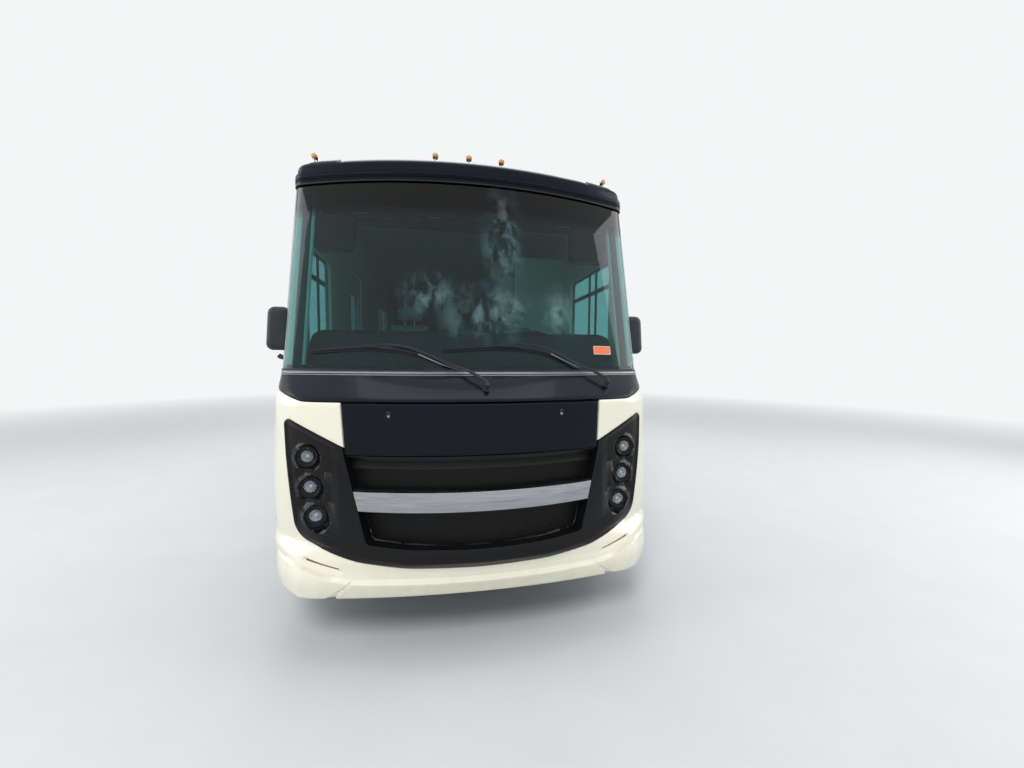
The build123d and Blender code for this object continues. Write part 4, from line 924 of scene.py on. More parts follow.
def copiesTree():
    # one shape on every point, its Z turned to the point's facing and its X to the point's along
    tree, sockets, entry, leave = geometryTree(
        "copiesOnPoints", {"Shape": "Object", "Finish": "Material"})
    shape = addNode(tree, "GeometryNodeObjectInfo", links={"Object": entry.outputs["Shape"]})
    turned = None
    for axis, title in (("Z", "facing"), ("X", "along")):
        way = addNode(tree, "GeometryNodeInputNamedAttribute", {"data_type": "FLOAT_VECTOR", "Name": title})
        align = addNode(tree, "FunctionNodeAlignRotationToVector", {"axis": axis}, {"Vector": way.outputs["Attribute"]})
        if turned:
            align.pivot_axis = "Z"
            tree.links.new(turned.outputs[0], align.inputs["Rotation"])
        turned = align
    copies = addNode(tree, "GeometryNodeInstanceOnPoints", {}, {
        "Points": entry.outputs["Geometry"], "Instance": shape.outputs["Geometry"], "Rotation": turned.outputs[0]})
    real = addNode(tree, "GeometryNodeRealizeInstances", {}, {"Geometry": copies.outputs[0]})
    finish = addNode(tree, "GeometryNodeSetMaterial", {}, {
        "Geometry": real.outputs[0], "Material": entry.outputs["Finish"]})
    tree.links.new(finish.outputs[0], leave.inputs[0])
    return tree, sockets


copiesNodes, copiesSockets = copiesTree()


def copiesOf(name, shape, places, facings, alongs, finish, body):
    # the same small shape on many places of one body
    pattern = joinedObject(name + ".shape", [shape], finish, None, smooth=False)
    mesh = bpy.data.meshes.new(name)
    mesh.from_pydata([tuple(p) for p in places], [], [])
    for title, ways in (("facing", facings), ("along", alongs)):
        ways = np.broadcast_to(np.asarray(ways, float), (len(places), 3))
        layer = mesh.attributes.new(title, "FLOAT_VECTOR", "POINT")
        layer.data.foreach_set("vector", np.ascontiguousarray(ways, dtype=np.float32).ravel())
    made = linked(name, mesh)
    nodes = made.modifiers.new("copies", "NODES")
    nodes.node_group = copiesNodes
    nodes[copiesSockets["Shape"]] = pattern
    nodes[copiesSockets["Finish"]] = finishes[finish]
    finishModifiers(made)
    bpy.data.objects.remove(pattern)
    for title in ("facing", "along"):
        if title in made.data.attributes:
            made.data.attributes.remove(made.data.attributes[title])
    made.data.materials.clear()
    made.data.materials.append(finishes[finish])
    cleanUp(made)
    settle(made, finish, body)


def thicken(made, thickness, offset):
    # gives a sheet its thickness; the offset says towards which side
    wall = made.modifiers.new("wall", "SOLIDIFY")
    wall.thickness, wall.offset = thickness, offset
    finishModifiers(made)


def finishModifiers(made):
    # keeps the shape that the modifiers give and takes them off
    bpy.context.view_layer.update()
    view = bpy.context.evaluated_depsgraph_get()
    shaped = bpy.data.meshes.new_from_object(made.evaluated_get(view))
    made.modifiers.clear()
    old = made.data
    made.data = shaped
    bpy.data.meshes.remove(old)


# Camera, lights and floor
cameraFit = {"place": (-0.1963, -2.1208, 1.70), "yaw": 9.892, "pitch": -3.33, "roll": -0.362, "lens": 13.536}


def makeCamera():
    yaw, pitch = math.radians(cameraFit["yaw"]), math.radians(cameraFit["pitch"])
    data = bpy.data.cameras.new("photoCamera")
    data.lens, data.sensor_width, data.clip_end = cameraFit["lens"], 36.0, 200
    camera = linked("photoCamera", data)
    x, y, z = cameraFit["place"]
    camera.location = (x, noseY + y, z)
    forward = Vector((math.sin(yaw) * math.cos(pitch), math.cos(yaw) * math.cos(pitch), math.sin(pitch)))
    turned = forward.to_track_quat("-Z", "Y") @ Matrix.Rotation(
        -math.radians(cameraFit["roll"]), 4, "Z").to_quaternion()
    camera.rotation_mode = "QUATERNION"
    camera.rotation_quaternion = turned
    bpy.context.scene.camera = camera


lights = {
    # name: place, aim, size, watts
    "keyFront": ((-2.2, -11.0, 9.0), (0.0, -4.0, 1.5), 4.0, 620.0),
    "fillRight": ((-9.0, -3.5, 5.0), (0.0, -1.0, 1.4), 6.0, 260.0),
    "fillLeft": ((9.0, -4.0, 5.0), (0.0, -1.0, 1.4), 6.0, 320.0),
    "rearSoft": ((0.0, 11.5, 6.0), (0.0, 2.0, 1.5), 7.0, 420.0),
    "topSoft": ((0.0, 0.0, 10.5), (0.0, 0.0, 0.0), 9.0, 480.0),
}
paleGround = "#F4F5F6"


def makeLights():
    for name, (place, aim, size, watts) in lights.items():
        data = bpy.data.lights.new(name, "AREA")
        data.energy, data.size, data.shape = watts, size, "SQUARE"
        lamp = linked(name, data)
        lamp.location = place
        lamp.visible_glossy = name != "keyFront"
        lamp.visible_transmission = False
        lamp.rotation_mode = "QUATERNION"
        lamp.rotation_quaternion = (Vector(aim) - Vector(place)).to_track_quat("-Z", "Y")
    world = bpy.data.worlds.new("studioSky")
    world.use_nodes = True
    tree = world.node_tree
    tree.nodes.clear()
    plain = addNode(tree, "ShaderNodeBackground", {"Color": linearColour("#C9D3DD"), "Strength": 0.62})
    pale = addNode(tree, "ShaderNodeBackground", {"Color": linearColour(paleGround), "Strength": 1.0})
    both = addNode(tree, "ShaderNodeMixShader", links={
        0: shownRays(tree), 1: plain.outputs[0], 2: pale.outputs[0]})
    addNode(tree, "ShaderNodeOutputWorld", links={"Surface": both.outputs[0]})
    bpy.context.scene.world = world


def shownRays(tree):
    # rays that see the pale background: the camera's own, and those by way of metal and glass
    path = addNode(tree, "ShaderNodeLightPath")
    seen = path.outputs["Is Camera Ray"]
    for title in ("Is Transmission Ray", "Is Glossy Ray"):
        seen = addNode(tree, "ShaderNodeMath", {"operation": "MAXIMUM"}, {0: seen, 1: path.outputs[title]}).outputs[0]
    return seen


def makeFloor():
    # pale floor that fades into the background with distance and keeps the shadow near the vehicle
    side, fadeStart, fadeEnd = 90.0, 7.0, 17.0
    mesh = bpy.data.meshes.new("studioFloor")
    mesh.from_pydata([(-side, -side, 0), (side, -side, 0), (side, side, 0), (-side, side, 0)], [], [(0, 1, 2, 3)])
    material, tree, surface = newMaterial("paleFloor", "#CFD0D0", Roughness=0.6)
    place = addNode(tree, "ShaderNodeTexCoord").outputs["Object"]
    tone = blendColour(tree, noise(tree, 2.2, 5, 0.6), "#CBCCCC", "#D5D6D6")
    tree.links.new(tone, surface.inputs["Base Color"])
    away = addNode(tree, "ShaderNodeVectorMath", {"operation": "LENGTH"}, {0: place}).outputs["Value"]
    share = addNode(tree, "ShaderNodeMath", {"operation": "MULTIPLY"}, {
        0: ramp(tree, away, 0.0, 1.0, fadeStart, fadeEnd), 1: shownRays(tree)})
    far = addNode(tree, "ShaderNodeEmission", {"Color": linearColour(paleGround), "Strength": 1.0})
    both = addNode(tree, "ShaderNodeMixShader", links={
        0: share.outputs[0], 1: surface.outputs[0], 2: far.outputs[0]})
    showInstead(tree, both)
    mesh.materials.append(material)
    linked("studioFloor", mesh)


makeCamera()
makeLights()
makeFloor()
bpy.context.scene.view_settings.view_transform = "Standard"
print("camera, lights and floor set")

# Front cap: ivory moulding, from the lip up to the paint line
capShape = {
    "lipOuter": 0.532, "lipMiddle": 0.465, "lipTurnIn": 0.705, "lipTurnOut": 1.155, "lipProud": 0.025,
    "lipDrop": 0.017, "notchTop": (0.705, 0.466), "notchLow": (0.838, 0.352), "notchTopHalf": 0.003,
    "notchLowHalf": 0.020, "notchDeep": 0.017, "scoopDeep": 0.017, "low": 0.354, "paintLine": 1.517,
    "sideEdge": 0.705, "tuckIn": 0.042, "tuckTop": 0.60, "tuckFade": 0.09, "tuckX": 0.98, "tuckY": 0.66,
    "tuckReach": 0.20,
}
surroundOuter = [
    (0.776, 1.196, 0.012), (1.158, 1.372, 0.035), (1.082, 0.655, 0.13), (0.900, 0.606, 0.25), (0.690, 0.561, 0.6),
    (0.405, 0.529, 0.8), (0.0, 0.521, 0.0),
]
grilleEdge = [(0.0, 0.642, 0.0), (0.401, 0.646, 0.6), (0.637, 0.660, 0.035), (0.770, 1.150, 0.004)]


def capOutline():
    low, paintLine = capShape["low"], capShape["paintLine"]
    bottom = toRuns(capSkin, roundedPath([(0.0, low, 0), (1.10, low, 0)], closed=False))
    heights = np.linspace(low, paintLine, 60)
    side = np.column_stack([capSkin.runAtY(noseY + capShape["sideEdge"], heights), heights])
    paint = toRuns(capSkin, roundedPath([
        (1.268, paintLine, 0), (1.20, 1.500, 0.2), (1.036, 1.455, 0.25), (0.801, 1.455, 0)], closed=False))
    inner = toRuns(capSkin, roundedPath(
        [(0.801, 1.455, 0), (0.776, 1.198, 0)] + [(x + (0.002 if x > 0 else 0), z, r) for x, z, r in surroundOuter[1:]],
        closed=False))
    return mirroredLoop(np.vstack([bottom, side[1:-1], paint, inner[1:]]))


def eased(share):
    return share * share * (3 - 2 * share)


def lipTop(x):
    share = np.clip((np.abs(x) - capShape["lipTurnIn"]) / (capShape["lipTurnOut"] - capShape["lipTurnIn"]), 0, 1)
    return capShape["lipMiddle"] + (capShape["lipOuter"] - capShape["lipMiddle"]) * eased(share)


scoopTop = [(0.712, 0.481), (0.795, 0.518), (0.998, 0.559), (1.040, 0.566)]
scoopLow = [(0.712, 0.481), (0.987, 0.521), (1.040, 0.566)]


def carveCap(runs, placed, distance):
    # the lip's ledge with a notch through it on each side, and the scoops over the amber slits
    x, z = np.abs(placed[:, 0]), runs[:, 1]
    drop = lipTop(x) - z
    ledge = capShape["lipDrop"]
    proud = np.interp(drop, [0.0, ledge, ledge + 0.003, 0.12], [0.0, 0.97, 1.0, 0.66]) * capShape["lipProud"]
    proud *= np.interp(x, [0.80, 1.02, 1.24], [1.0, 0.95, 0.60])
    (ax, az), (bx, bz) = capShape["notchTop"], capShape["notchLow"]
    length = math.hypot(bx - ax, bz - az)
    across = ((x - ax) * (bz - az) - (z - az) * (bx - ax)) / length
    along = ((x - ax) * (bx - ax) + (z - az) * (bz - az)) / length
    half = np.interp(along / length, [0.0, 1.0], [capShape["notchTopHalf"], capShape["notchLowHalf"]])
    inGroove = (np.abs(across) < half) & (along > -0.002) & (drop > -0.001)
    groove = np.where(inGroove, 0.35 + 0.65 * np.clip((across + half) / (2 * half), 0, 1), 0)
    proud = proud - capShape["notchDeep"] * groove * np.clip((along + 0.002) / 0.02, 0, 1)
    top, low = (np.interp(x, *np.array(line).T) for line in (scoopTop, scoopLow))
    share = np.clip((top - z) / np.maximum(top - low, 1e-4), 0, 1)
    ends = np.clip(np.minimum((x - 0.712) / 0.083, (1.040 - x) / 0.042), 0, 1)
    hollow = np.where((z <= top - 0.0008) & (z > low), capShape["scoopDeep"] * (1 - share) * ends, 0)
    placed = placed + capSkin.normal(runs[:, 0], runs[:, 1]) * (proud - hollow)[:, None]
    # the lower corners are drawn in, as in the photo
    inwards = (np.clip((capShape["tuckTop"] - z) / capShape["tuckFade"], 0, 1)
               * np.clip((np.abs(placed[:, 0]) - capShape["tuckX"]) / capShape["tuckReach"], 0, 1)
               * np.clip((noseY + capShape["tuckY"] - placed[:, 1]) / capShape["tuckReach"], 0, 1))
    placed[:, 0] -= np.sign(placed[:, 0]) * capShape["tuckIn"] * eased(inwards)
    return placed


def bothSides(points, drop=0.0):
    # a line seen from the front, on both sides of the vehicle, as runs and heights
    line = divided(np.array(points, float) - [0, drop], 0.015, closed=False)
    return [toRuns(capSkin, line), toRuns(capSkin, line * [-1, 1])]


def makeCap():
    xs = np.linspace(-1.285, 1.285, 150)
    features = []
    for drop in (0.0, capShape["lipDrop"], capShape["lipDrop"] + 0.003):
        features.append(toRuns(capSkin, np.column_stack([xs, lipTop(xs) - drop])))
    (ax, az), (bx, bz) = capShape["notchTop"], capShape["notchLow"]
    sideways = Vector((bz - az, ax - bx)).normalized()
    for side in (-1, 1):
        for more in (0.0, 0.0012):
            top, low = side * (capShape["notchTopHalf"] + more), side * (capShape["notchLowHalf"] + more)
            features += bothSides([(ax + sideways.x * top, az + sideways.y * top - 0.001),
                                   (bx + sideways.x * low, bz + sideways.y * low)])
    features += bothSides(scoopTop) + bothSides(scoopTop[1:-1], 0.0016) + bothSides(scoopLow)
    cap = skinPanel("capMoulding", capSkin, [capOutline()], "ivory", "coach", spacing=0.018, thickness=0.012,
                    edge=0.004, carve=carveCap, features=features)
    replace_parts(cap, "front_mask", "front_bumper")


slitProfile = [(0.0005, 0.018), (0.0005, 0.0085), (0.0030, 0.0065), (0.0080, 0.0075), (0.0105, 0.010), (0.0105, 0.018)]


def makeSlits():
    # amber marker under the upper edge of each scoop
    for side, name in ((1, "sideMarkerLeft"), (-1, "sideMarkerRight")):
        line = divided(np.array([(0.800, 0.5165), (0.996, 0.5565)]), 0.012, closed=False)
        rows = []
        for down, depth in slitProfile:
            runs = toRuns(capSkin, (line - [0, down]) * [side, 1])
            rows.append(capSkin.point(runs[:, 0], runs[:, 1], depth))
        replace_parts(joinedObject(name, [stripMesh(rows)], "amber", "coach"), "side_markers")


makeCap()
makeSlits()
print("front cap moulded")

# Dark cowl under the windshield, and the hood panel below it
hoodShape = {"top": 1.449, "bottom": 1.156, "topX": 0.789, "bottomX": 0.763, "latchX": 0.518, "latchZ": 1.388}


def makeCowl():
    heights = np.linspace(1.523, 1.634, 8)
    seam = noseY + np.interp(heights, [1.455, 1.640], [0.705, 0.770])
    side = np.column_stack([capSkin.runAtY(seam, heights), heights])
    bottom = toRuns(capSkin, roundedPath(
        [(0.0, 1.461, 0), (1.036, 1.461, 0.25), (1.20, 1.506, 0.2), (1.268, 1.523, 0)], closed=False))
    top = toRuns(capSkin, roundedPath([(1.18, 1.634, 0), (0.0, 1.634, 0)], closed=False))
    outline = mirroredLoop(np.vstack([bottom, side[1:], top]))
    cowl = skinPanel("cowlMoulding", capSkin, [outline], "night", "coach", spacing=0.022, thickness=0.010, edge=0.004)
    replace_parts(cowl, "cowl")


def makeHood():
    corners = [(hoodShape["bottomX"], hoodShape["bottom"], 0.012), (hoodShape["topX"], hoodShape["top"], 0.012),
               (-hoodShape["topX"], hoodShape["top"], 0.012), (-hoodShape["bottomX"], hoodShape["bottom"], 0.012)]

    def carveHood(runs, placed, distance):
        # a faint pressed crease runs across just above the lower edge
        crease = np.clip(1 - np.abs(runs[:, 1] - 1.196) / 0.018, 0, 1) * np.clip(distance / 0.03, 0, 1)
        return placed - capSkin.normal(runs[:, 0], runs[:, 1]) * (0.0025 * crease)[:, None]

    hood = skinPanel("hoodSkin", capSkin, [toRuns(capSkin, roundedPath(corners))], "night", "hood", spacing=0.018,
                     thickness=0.010, edge=0.004, carve=carveHood)
    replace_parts(hood, "hood_panel")
    # quarter-turn latch by each upper corner: dark recessed oblong with a bright cam
    cups, cams = [], []
    for side in (-1, 1):
        x, z = side * hoodShape["latchX"], hoodShape["latchZ"]

        def onHood(u, v, out):
            return capSkin.atX(x + u, z + v, -out)

        oblong = rectangle(-0.0125, -0.021, 0.0125, 0.021, 0.011, step=0.006)
        cups.append(ringFrame(
            oblong, onHood, [(0, -0.002), (0, 0.0022), (0.0012, 0.003), (0.0035, 0.003), (0.0045, -0.001)]))
        cups.append(plate(
            insetLoop(counterClockwise(oblong), 0.004), onHood, [(0, -0.003), (0, -0.0005), (0.001, 0.0)]))
        cams.append(plate(rectangle(-0.005, -0.014, 0.005, -0.002, 0.004, step=0.003), onHood,
                          [(0, -0.001), (0, 0.001), (0.001, 0.002)]))
    joinedObject("hoodLatches", cups, "absBlack", "hood")
    joinedObject("hoodLatchCams", cams, "chrome", "hood")


makeCowl()
makeHood()
print("cowl and hood made")

# Lamp surround: outer edge, bowls for the lamps, stepped shelves, and the smile band under the grille
# x, z, lens radius of each lamp
lampRows = [(1.004, 1.131, 0.056), (0.986, 0.951, 0.057), (0.956, 0.778, 0.058)]
bowl = {"radius": 0.088, "flat": 0.062, "slope": 2.0, "creases": (0.062, 0.072, 0.084, 0.096)}
# each shelf's start beside the bowl, and its tip
shelves = [((0.978, 1.062), (0.846, 1.049)), ((0.955, 0.884), (0.826, 0.876))]


def lampFace(x, z):
    # Y of a lamp's face: level with the skin at its outer rim
    return float(capSkin.atX(x + bowl["flat"], z)[1]) + 0.004


bandLow = ([0, 0.405, 0.69, 0.90, 1.0], [0.521, 0.529, 0.561, 0.606, 0.63])
bandHigh = ([0, 0.401, 0.637, 0.80, 1.0], [0.642, 0.646, 0.660, 0.70, 0.72])
crestShare = 0.36


def crestHeight(x):
    return np.interp(x, *bandLow) * (1 - crestShare) + np.interp(x, *bandHigh) * crestShare


def carveSurround(runs, placed, distance):
    x, z = np.abs(placed[:, 0]), placed[:, 2]
    y = placed[:, 1].copy()
    # smile band: a crest part way up between its lower edge and the grille
    lower, upper = np.interp(x, *bandLow), np.interp(x, *bandHigh)
    share = np.clip((z - lower) / (upper - lower), 0, 1)
    crest = np.where(share < crestShare, share / crestShare, (1 - share) / (1 - crestShare))
    y -= 0.016 * crest * np.interp(x, [0.0, 0.9, 1.03], [1, 1, 0])
    # a shallow pocket behind the raised outer rim
    y += 0.010 * np.clip((distance - 0.012) / 0.02, 0, 1) * (
        np.clip((x - 0.80) / 0.05, 0, 1) * np.clip((z - 0.70) / 0.06, 0, 1))
    for (ax, az), (bx, bz) in shelves:
        line = np.interp(x, [bx, ax], [bz, az])
        under = np.clip((line - z) / 0.002, 0, 1) * np.clip(1 - (line - z) / 0.085, 0, 1)
        reach = np.clip((x - bx) / 0.05, 0, 1) * np.clip((1.07 - x) / 0.05, 0, 1)
        y += 0.030 * under * reach
        above = np.clip((z - line) / 0.002, 0, 1) * np.clip(1 - (z - line) / 0.055, 0, 1) * reach
        y -= 0.006 * above
    for cx, cz, _ in lampRows:
        away, face = np.hypot(x - cx, z - cz), lampFace(cx, cz)
        floor = np.minimum(face - bowl["slope"] * (away - bowl["flat"]), face)
        y = np.where(away < bowl["radius"] + 0.03, np.maximum(y, floor), y)
    placed[:, 1] = y
    return placed


def makeSurround():
    outer = toRuns(capSkin, roundedPath(
        [(0.770, 1.150, 0), (0.777, 1.196, 0.004)] + surroundOuter[1:], closed=False, step=0.008))
    inner = toRuns(capSkin, roundedPath(grilleEdge[:-1] + [(0.770, 1.150, 0)], closed=False, step=0.008))
    lowSide = np.vstack([outer, outer[::-1][1:] * [-1, 1]])
    highSide = np.vstack([inner[::-1] * [-1, 1], inner[1:]])
    outline = np.vstack([lowSide, highSide[1:-1]])
    features, holes = [], []
    for side in (-1, 1):
        for cx, cz, lens in lampRows:
            def ring(radius, turns):
                return toRuns(capSkin, np.array([
                    (side * (cx + radius * math.cos(a)), cz + radius * math.sin(a)) for a in turns]))

            features += [ring(radius, np.linspace(0, 2 * math.pi, 49)) for radius in bowl["creases"]]
            holes.append(ring(lens + 0.002, np.linspace(0, 2 * math.pi, 44, endpoint=False)))
        for start, tip in shelves:
            for drop in (0.0, 0.002):
                features += [toRuns(capSkin, divided(np.array([
                    (side * (tip[0] - 0.006), tip[1] - drop), (side * start[0], start[1] - drop),
                    (side * (start[0] + 0.06), start[1] - drop)]), 0.01, closed=False))]
    bandX = np.linspace(-1.0, 1.0, 120)
    features.append(toRuns(capSkin, np.column_stack([bandX, crestHeight(np.abs(bandX))])))
    surround = skinPanel("lampSurround", capSkin, [outline] + holes, "pianoBlack", "coach", spacing=0.010,
                         thickness=0.006, lift=0.003, edge=0.004, carve=carveSurround, features=features)
    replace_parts(surround, "lamp_surround")


makeSurround()
print("lamp surround moulded")

# Brow over the windshield, running back over the top to the roof
browShape = {
    "low": 2.986, "ridgeTop": 3.040, "top": 3.260, "ridges": (3.006, 3.017, 3.028), "ridgeSize": 0.0045,
    "setBack": 0.011, "seam": 1.400,
}
roofLine = {"edge": 1.29, "shoulder": 1.24, "shoulderZ": 3.31, "crownZ": 3.34}


def roofHeight(x):
    half = roofLine["shoulder"]
    crown = (roofLine["crownZ"] - roofLine["shoulderZ"]) * (1 - (np.abs(x) / half) ** 2).clip(0, 1)
    return roofLine["shoulderZ"] + crown - (np.abs(x) - half).clip(0, 1)


def browCrease(x):
    # height of the crease under the set-back band; it climbs over the ears at both corners
    return np.interp(np.abs(x), [0, 0.92, 0.94, 0.968, 0.987, 1.03, 1.08, 1.14, 1.19, 1.235, 1.29],
                     [3.097, 3.108, 3.116, 3.158, 3.168, 3.175, 3.177, 3.155, 3.115, 3.061, 3.048])


def browRow(z, lift):
    # one row of points round the brow; z and lift may change along it
    parts = [np.linspace(0, 1, 56), np.linspace(0, 1, 19)[1:], np.linspace(0, 1, 14)[1:]]
    shares = np.concatenate(parts)
    z = np.broadcast_to(np.asarray(z, float), shares.shape)
    *_, frontRun, cornerRun = browSkin.arcs(z)
    seam = noseY + 1.115 + 0.285 * np.clip((z - 2.99) / 0.15, 0, 1)
    reach = browSkin.runAtY(seam, z)
    run = np.choose(np.repeat([0, 1, 2], [len(part) for part in parts]), [
        frontRun * shares, frontRun + cornerRun * shares,
        frontRun + cornerRun + (reach - frontRun - cornerRun) * shares])
    both = np.concatenate([-run[::-1], run[1:]])
    heights = np.concatenate([z[::-1], z[1:]])
    lift = np.broadcast_to(np.asarray(lift, float), z.shape)
    lifts = np.concatenate([lift[::-1], lift[1:]])
    placed = browSkin.point(both, heights, -lifts)
    # the sides widen again to the body's width where they meet it
    half = browSkin.values(heights)[3]
    share = np.clip((placed[:, 1] - noseY - 1.10) / 0.29, 0, 1)
    placed[:, 0] *= 1 + (roofLine["edge"] / half - 1) * eased(share)
    return placed


def makeBrow():
    rows = []
    size, ridgeTop, top = browShape["ridgeSize"], browShape["ridgeTop"], browShape["top"]
    for z in np.linspace(browShape["low"], ridgeTop, 28):
        rows.append(browRow(z, max(size * max(0, 1 - abs(z - ridge) / size) for ridge in browShape["ridges"])))
    middle = browRow(3.10, 0.0)
    crease = browCrease(middle[len(middle) // 2:, 0])
    for share in np.linspace(0.08, 1.0, 14):
        rows.append(browRow(ridgeTop + (crease - ridgeTop) * share, 0.0025 * math.sin(math.pi * share / 2)))
    for share, lift in ((0.02, -0.006), (0.04, -browShape["setBack"])):
        rows.append(browRow(crease + (top - crease) * share, lift))
    for share in np.linspace(0.08, 1.0, 26):
        rows.append(browRow(crease + (top - crease) * share, -browShape["setBack"] * (1 - share) ** 1.3))
    last = rows[-1]
    for k in np.linspace(0.06, 1.0, 16):
        moved = last.copy()
        moved[:, 1] = last[:, 1] + (noseY + browShape["seam"] - last[:, 1]) * k
        moved[:, 2] = last[:, 2] + (roofHeight(moved[:, 0]) - last[:, 2]) * (k * (2 - k))
        rows.append(moved)
    brow = meshObject("browMoulding", *sheetMesh(rows), "night", "coach")
    thicken(brow, 0.010, -1)
    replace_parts(brow, "brow")


makeBrow()
print("brow made")

# Round lamps: chrome-ringed clear lens over a reflector bowl, in a black bezel
lampShape = {"opening": 0.64, "flute": 0.0024}


def makeLamps():
    bezels, bowls, glasses, cores = [], [], [], []
    for side in (-1, 1):
        for x, z, lens in lampRows:
            face = lampFace(x, z)
            centre, facing = (side * x, face, z), (0, -1, 0)
            core = lens * lampShape["opening"]
            bezels.append(latheMesh([(core, -0.012), (core, 0.000), (core + 0.003, 0.0015), (lens - 0.004, 0.007),
                                     (lens, 0.0125), (lens + 0.004, 0.0138), (lens + 0.008, 0.0135),
                                     (lens + 0.012, 0.008), (lens + 0.012, -0.012), (core, -0.012)], centre, facing))
            points, faces = latheMesh([(core, 0.001), (core - 0.001, -0.004), (core * 0.84, -0.012),
                                       (core * 0.62, -0.020), (core * 0.44, -0.025), (0.0005, -0.027)], centre, facing)
            for index, point in enumerate(points):
                point.y += lampShape["flute"] * (index // 2 % 2)
            bowls.append((points, faces))
            ball = [(core * 0.40 * math.cos(a), -0.018 + core * 0.40 * math.sin(a))
                    for a in np.linspace(-1.2, 1.55, 10)]
            cores.append(latheMesh(ball, centre, facing, 32))
            dome = [(core * 1.05 * math.cos(a), 0.0025 + 0.009 * math.sin(a)) for a in np.linspace(0, 1.56, 9)]
            inside = [(r * 0.985, reach - 0.0015) for r, reach in dome[::-1]]
            glasses.append(latheMesh(dome + inside + [dome[0]], centre, facing))
    joinedObject("lampBezels", bezels, "pianoBlack", "coach", slotted=False)
    joinedObject("lampReflectors", bowls, "chrome", "coach", smooth=False, slotted=False)
    glass = joinedObject("lampLenses", glasses, "lens", "coach", slotted=False)
    joinedObject("lampProjectors", cores, "chrome", "coach", slotted=False)
    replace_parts(glass, "headlamps")


makeLamps()
print("lamps made")

# Grille: hexagonal mesh set back behind the surround, its collar, and the bright bar
grille = {
    "pitch": 0.0155, "wire": 0.0032, "thick": 0.0025, "back": 0.062, "duct": 0.115, "low": 0.628, "high": 1.150,
    "rowStep": 0.866,
}


def hexagonMesh():
    # a hexagon frame on every point of a staggered lattice
    tree, sockets, entry, leave = geometryTree(
        "hexagonMesh", {"Pitch": "Float", "Wire": "Float", "Thickness": "Float"})
    rim = addNode(tree, "GeometryNodeMeshCircle", {"Vertices": 6, "fill_type": "NGON"})
    outerSize = addNode(tree, "ShaderNodeMath", {"operation": "MULTIPLY", 1: 0.57735}, {0: entry.outputs["Pitch"]})
    tree.links.new(outerSize.outputs[0], rim.inputs["Radius"])
    inset = addNode(tree, "GeometryNodeExtrudeMesh", {"mode": "FACES", "Offset Scale": 0.0}, {
        "Mesh": rim.outputs["Mesh"]})
    smaller = addNode(tree, "ShaderNodeMath", {"operation": "DIVIDE"}, {
        0: entry.outputs["Wire"], 1: entry.outputs["Pitch"]})
    keep = addNode(tree, "ShaderNodeMath", {"operation": "SUBTRACT", 0: 1.0}, {1: smaller.outputs[0]})
    shrunk = addNode(tree, "GeometryNodeScaleElements", {}, {
        "Geometry": inset.outputs["Mesh"], "Selection": inset.outputs["Top"], "Scale": keep.outputs[0]})
    opened = addNode(tree, "GeometryNodeDeleteGeometry", {"domain": "FACE"}, {
        "Geometry": shrunk.outputs[0], "Selection": inset.outputs["Top"]})
    walls = addNode(tree, "GeometryNodeExtrudeMesh", {"mode": "FACES", "Individual": False}, {
        "Mesh": opened.outputs[0], "Offset Scale": entry.outputs["Thickness"]})
    both = addNode(tree, "GeometryNodeJoinGeometry")
    flipped = addNode(tree, "GeometryNodeFlipFaces", {}, {"Mesh": opened.outputs[0]})
    tree.links.new(flipped.outputs[0], both.inputs[0])
    tree.links.new(walls.outputs["Mesh"], both.inputs[0])
    frameCells = addNode(tree, "GeometryNodeInstanceOnPoints", {}, {
        "Points": entry.outputs["Geometry"], "Instance": both.outputs[0]})
    real = addNode(tree, "GeometryNodeRealizeInstances", {}, {"Geometry": frameCells.outputs[0]})
    welded = addNode(tree, "GeometryNodeMergeByDistance", {"Distance": 0.00005}, {"Geometry": real.outputs[0]})
    finish = addNode(tree, "GeometryNodeSetMaterial", {"Material": finishes["powder"]}, {
        "Geometry": welded.outputs[0]})
    tree.links.new(finish.outputs[0], leave.inputs[0])
    return tree, sockets


def grilleHalfWidth(z):
    return np.interp(z, [0.642, 0.660, 1.150], [0.50, 0.637, 0.770])


def makeGrille():
    pitch = grille["pitch"]
    centres = []
    rows = int((grille["high"] - grille["low"]) / (pitch * grille["rowStep"])) + 1
    for row in range(rows):
        z = grille["low"] + row * pitch * grille["rowStep"]
        reach = float(grilleHalfWidth(z)) + 0.006
        for column in range(-60, 61):
            x = (column + (row % 2) / 2) * pitch
            lowest = 0.636 + 0.024 * (abs(x) / 0.637) ** 2
            if abs(x) < reach and z > lowest - 0.004:
                centres.append((x, z, 0))
    points = bpy.data.meshes.new("grilleCells")
    points.from_pydata(centres, [], [])
    mesh = linked("grilleMesh", points)
    tree, sockets = hexagonMesh()
    nodes = mesh.modifiers.new("hexagons", "NODES")
    nodes.node_group = tree
    for title, value in (("Pitch", pitch), ("Wire", grille["wire"]), ("Thickness", grille["thick"])):
        nodes[sockets[title]] = value
    finishModifiers(mesh)
    flat = vertexValues(mesh.data)
    placed = capSkin.atX(flat[:, 0], flat[:, 1], grille["back"] - flat[:, 2])
    mesh.data.vertices.foreach_set("co", placed.ravel())
    mesh.data.update()
    cleanUp(mesh, smooth=False)
    settle(mesh, "powder", "coach")
    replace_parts(mesh, "grille_mesh")


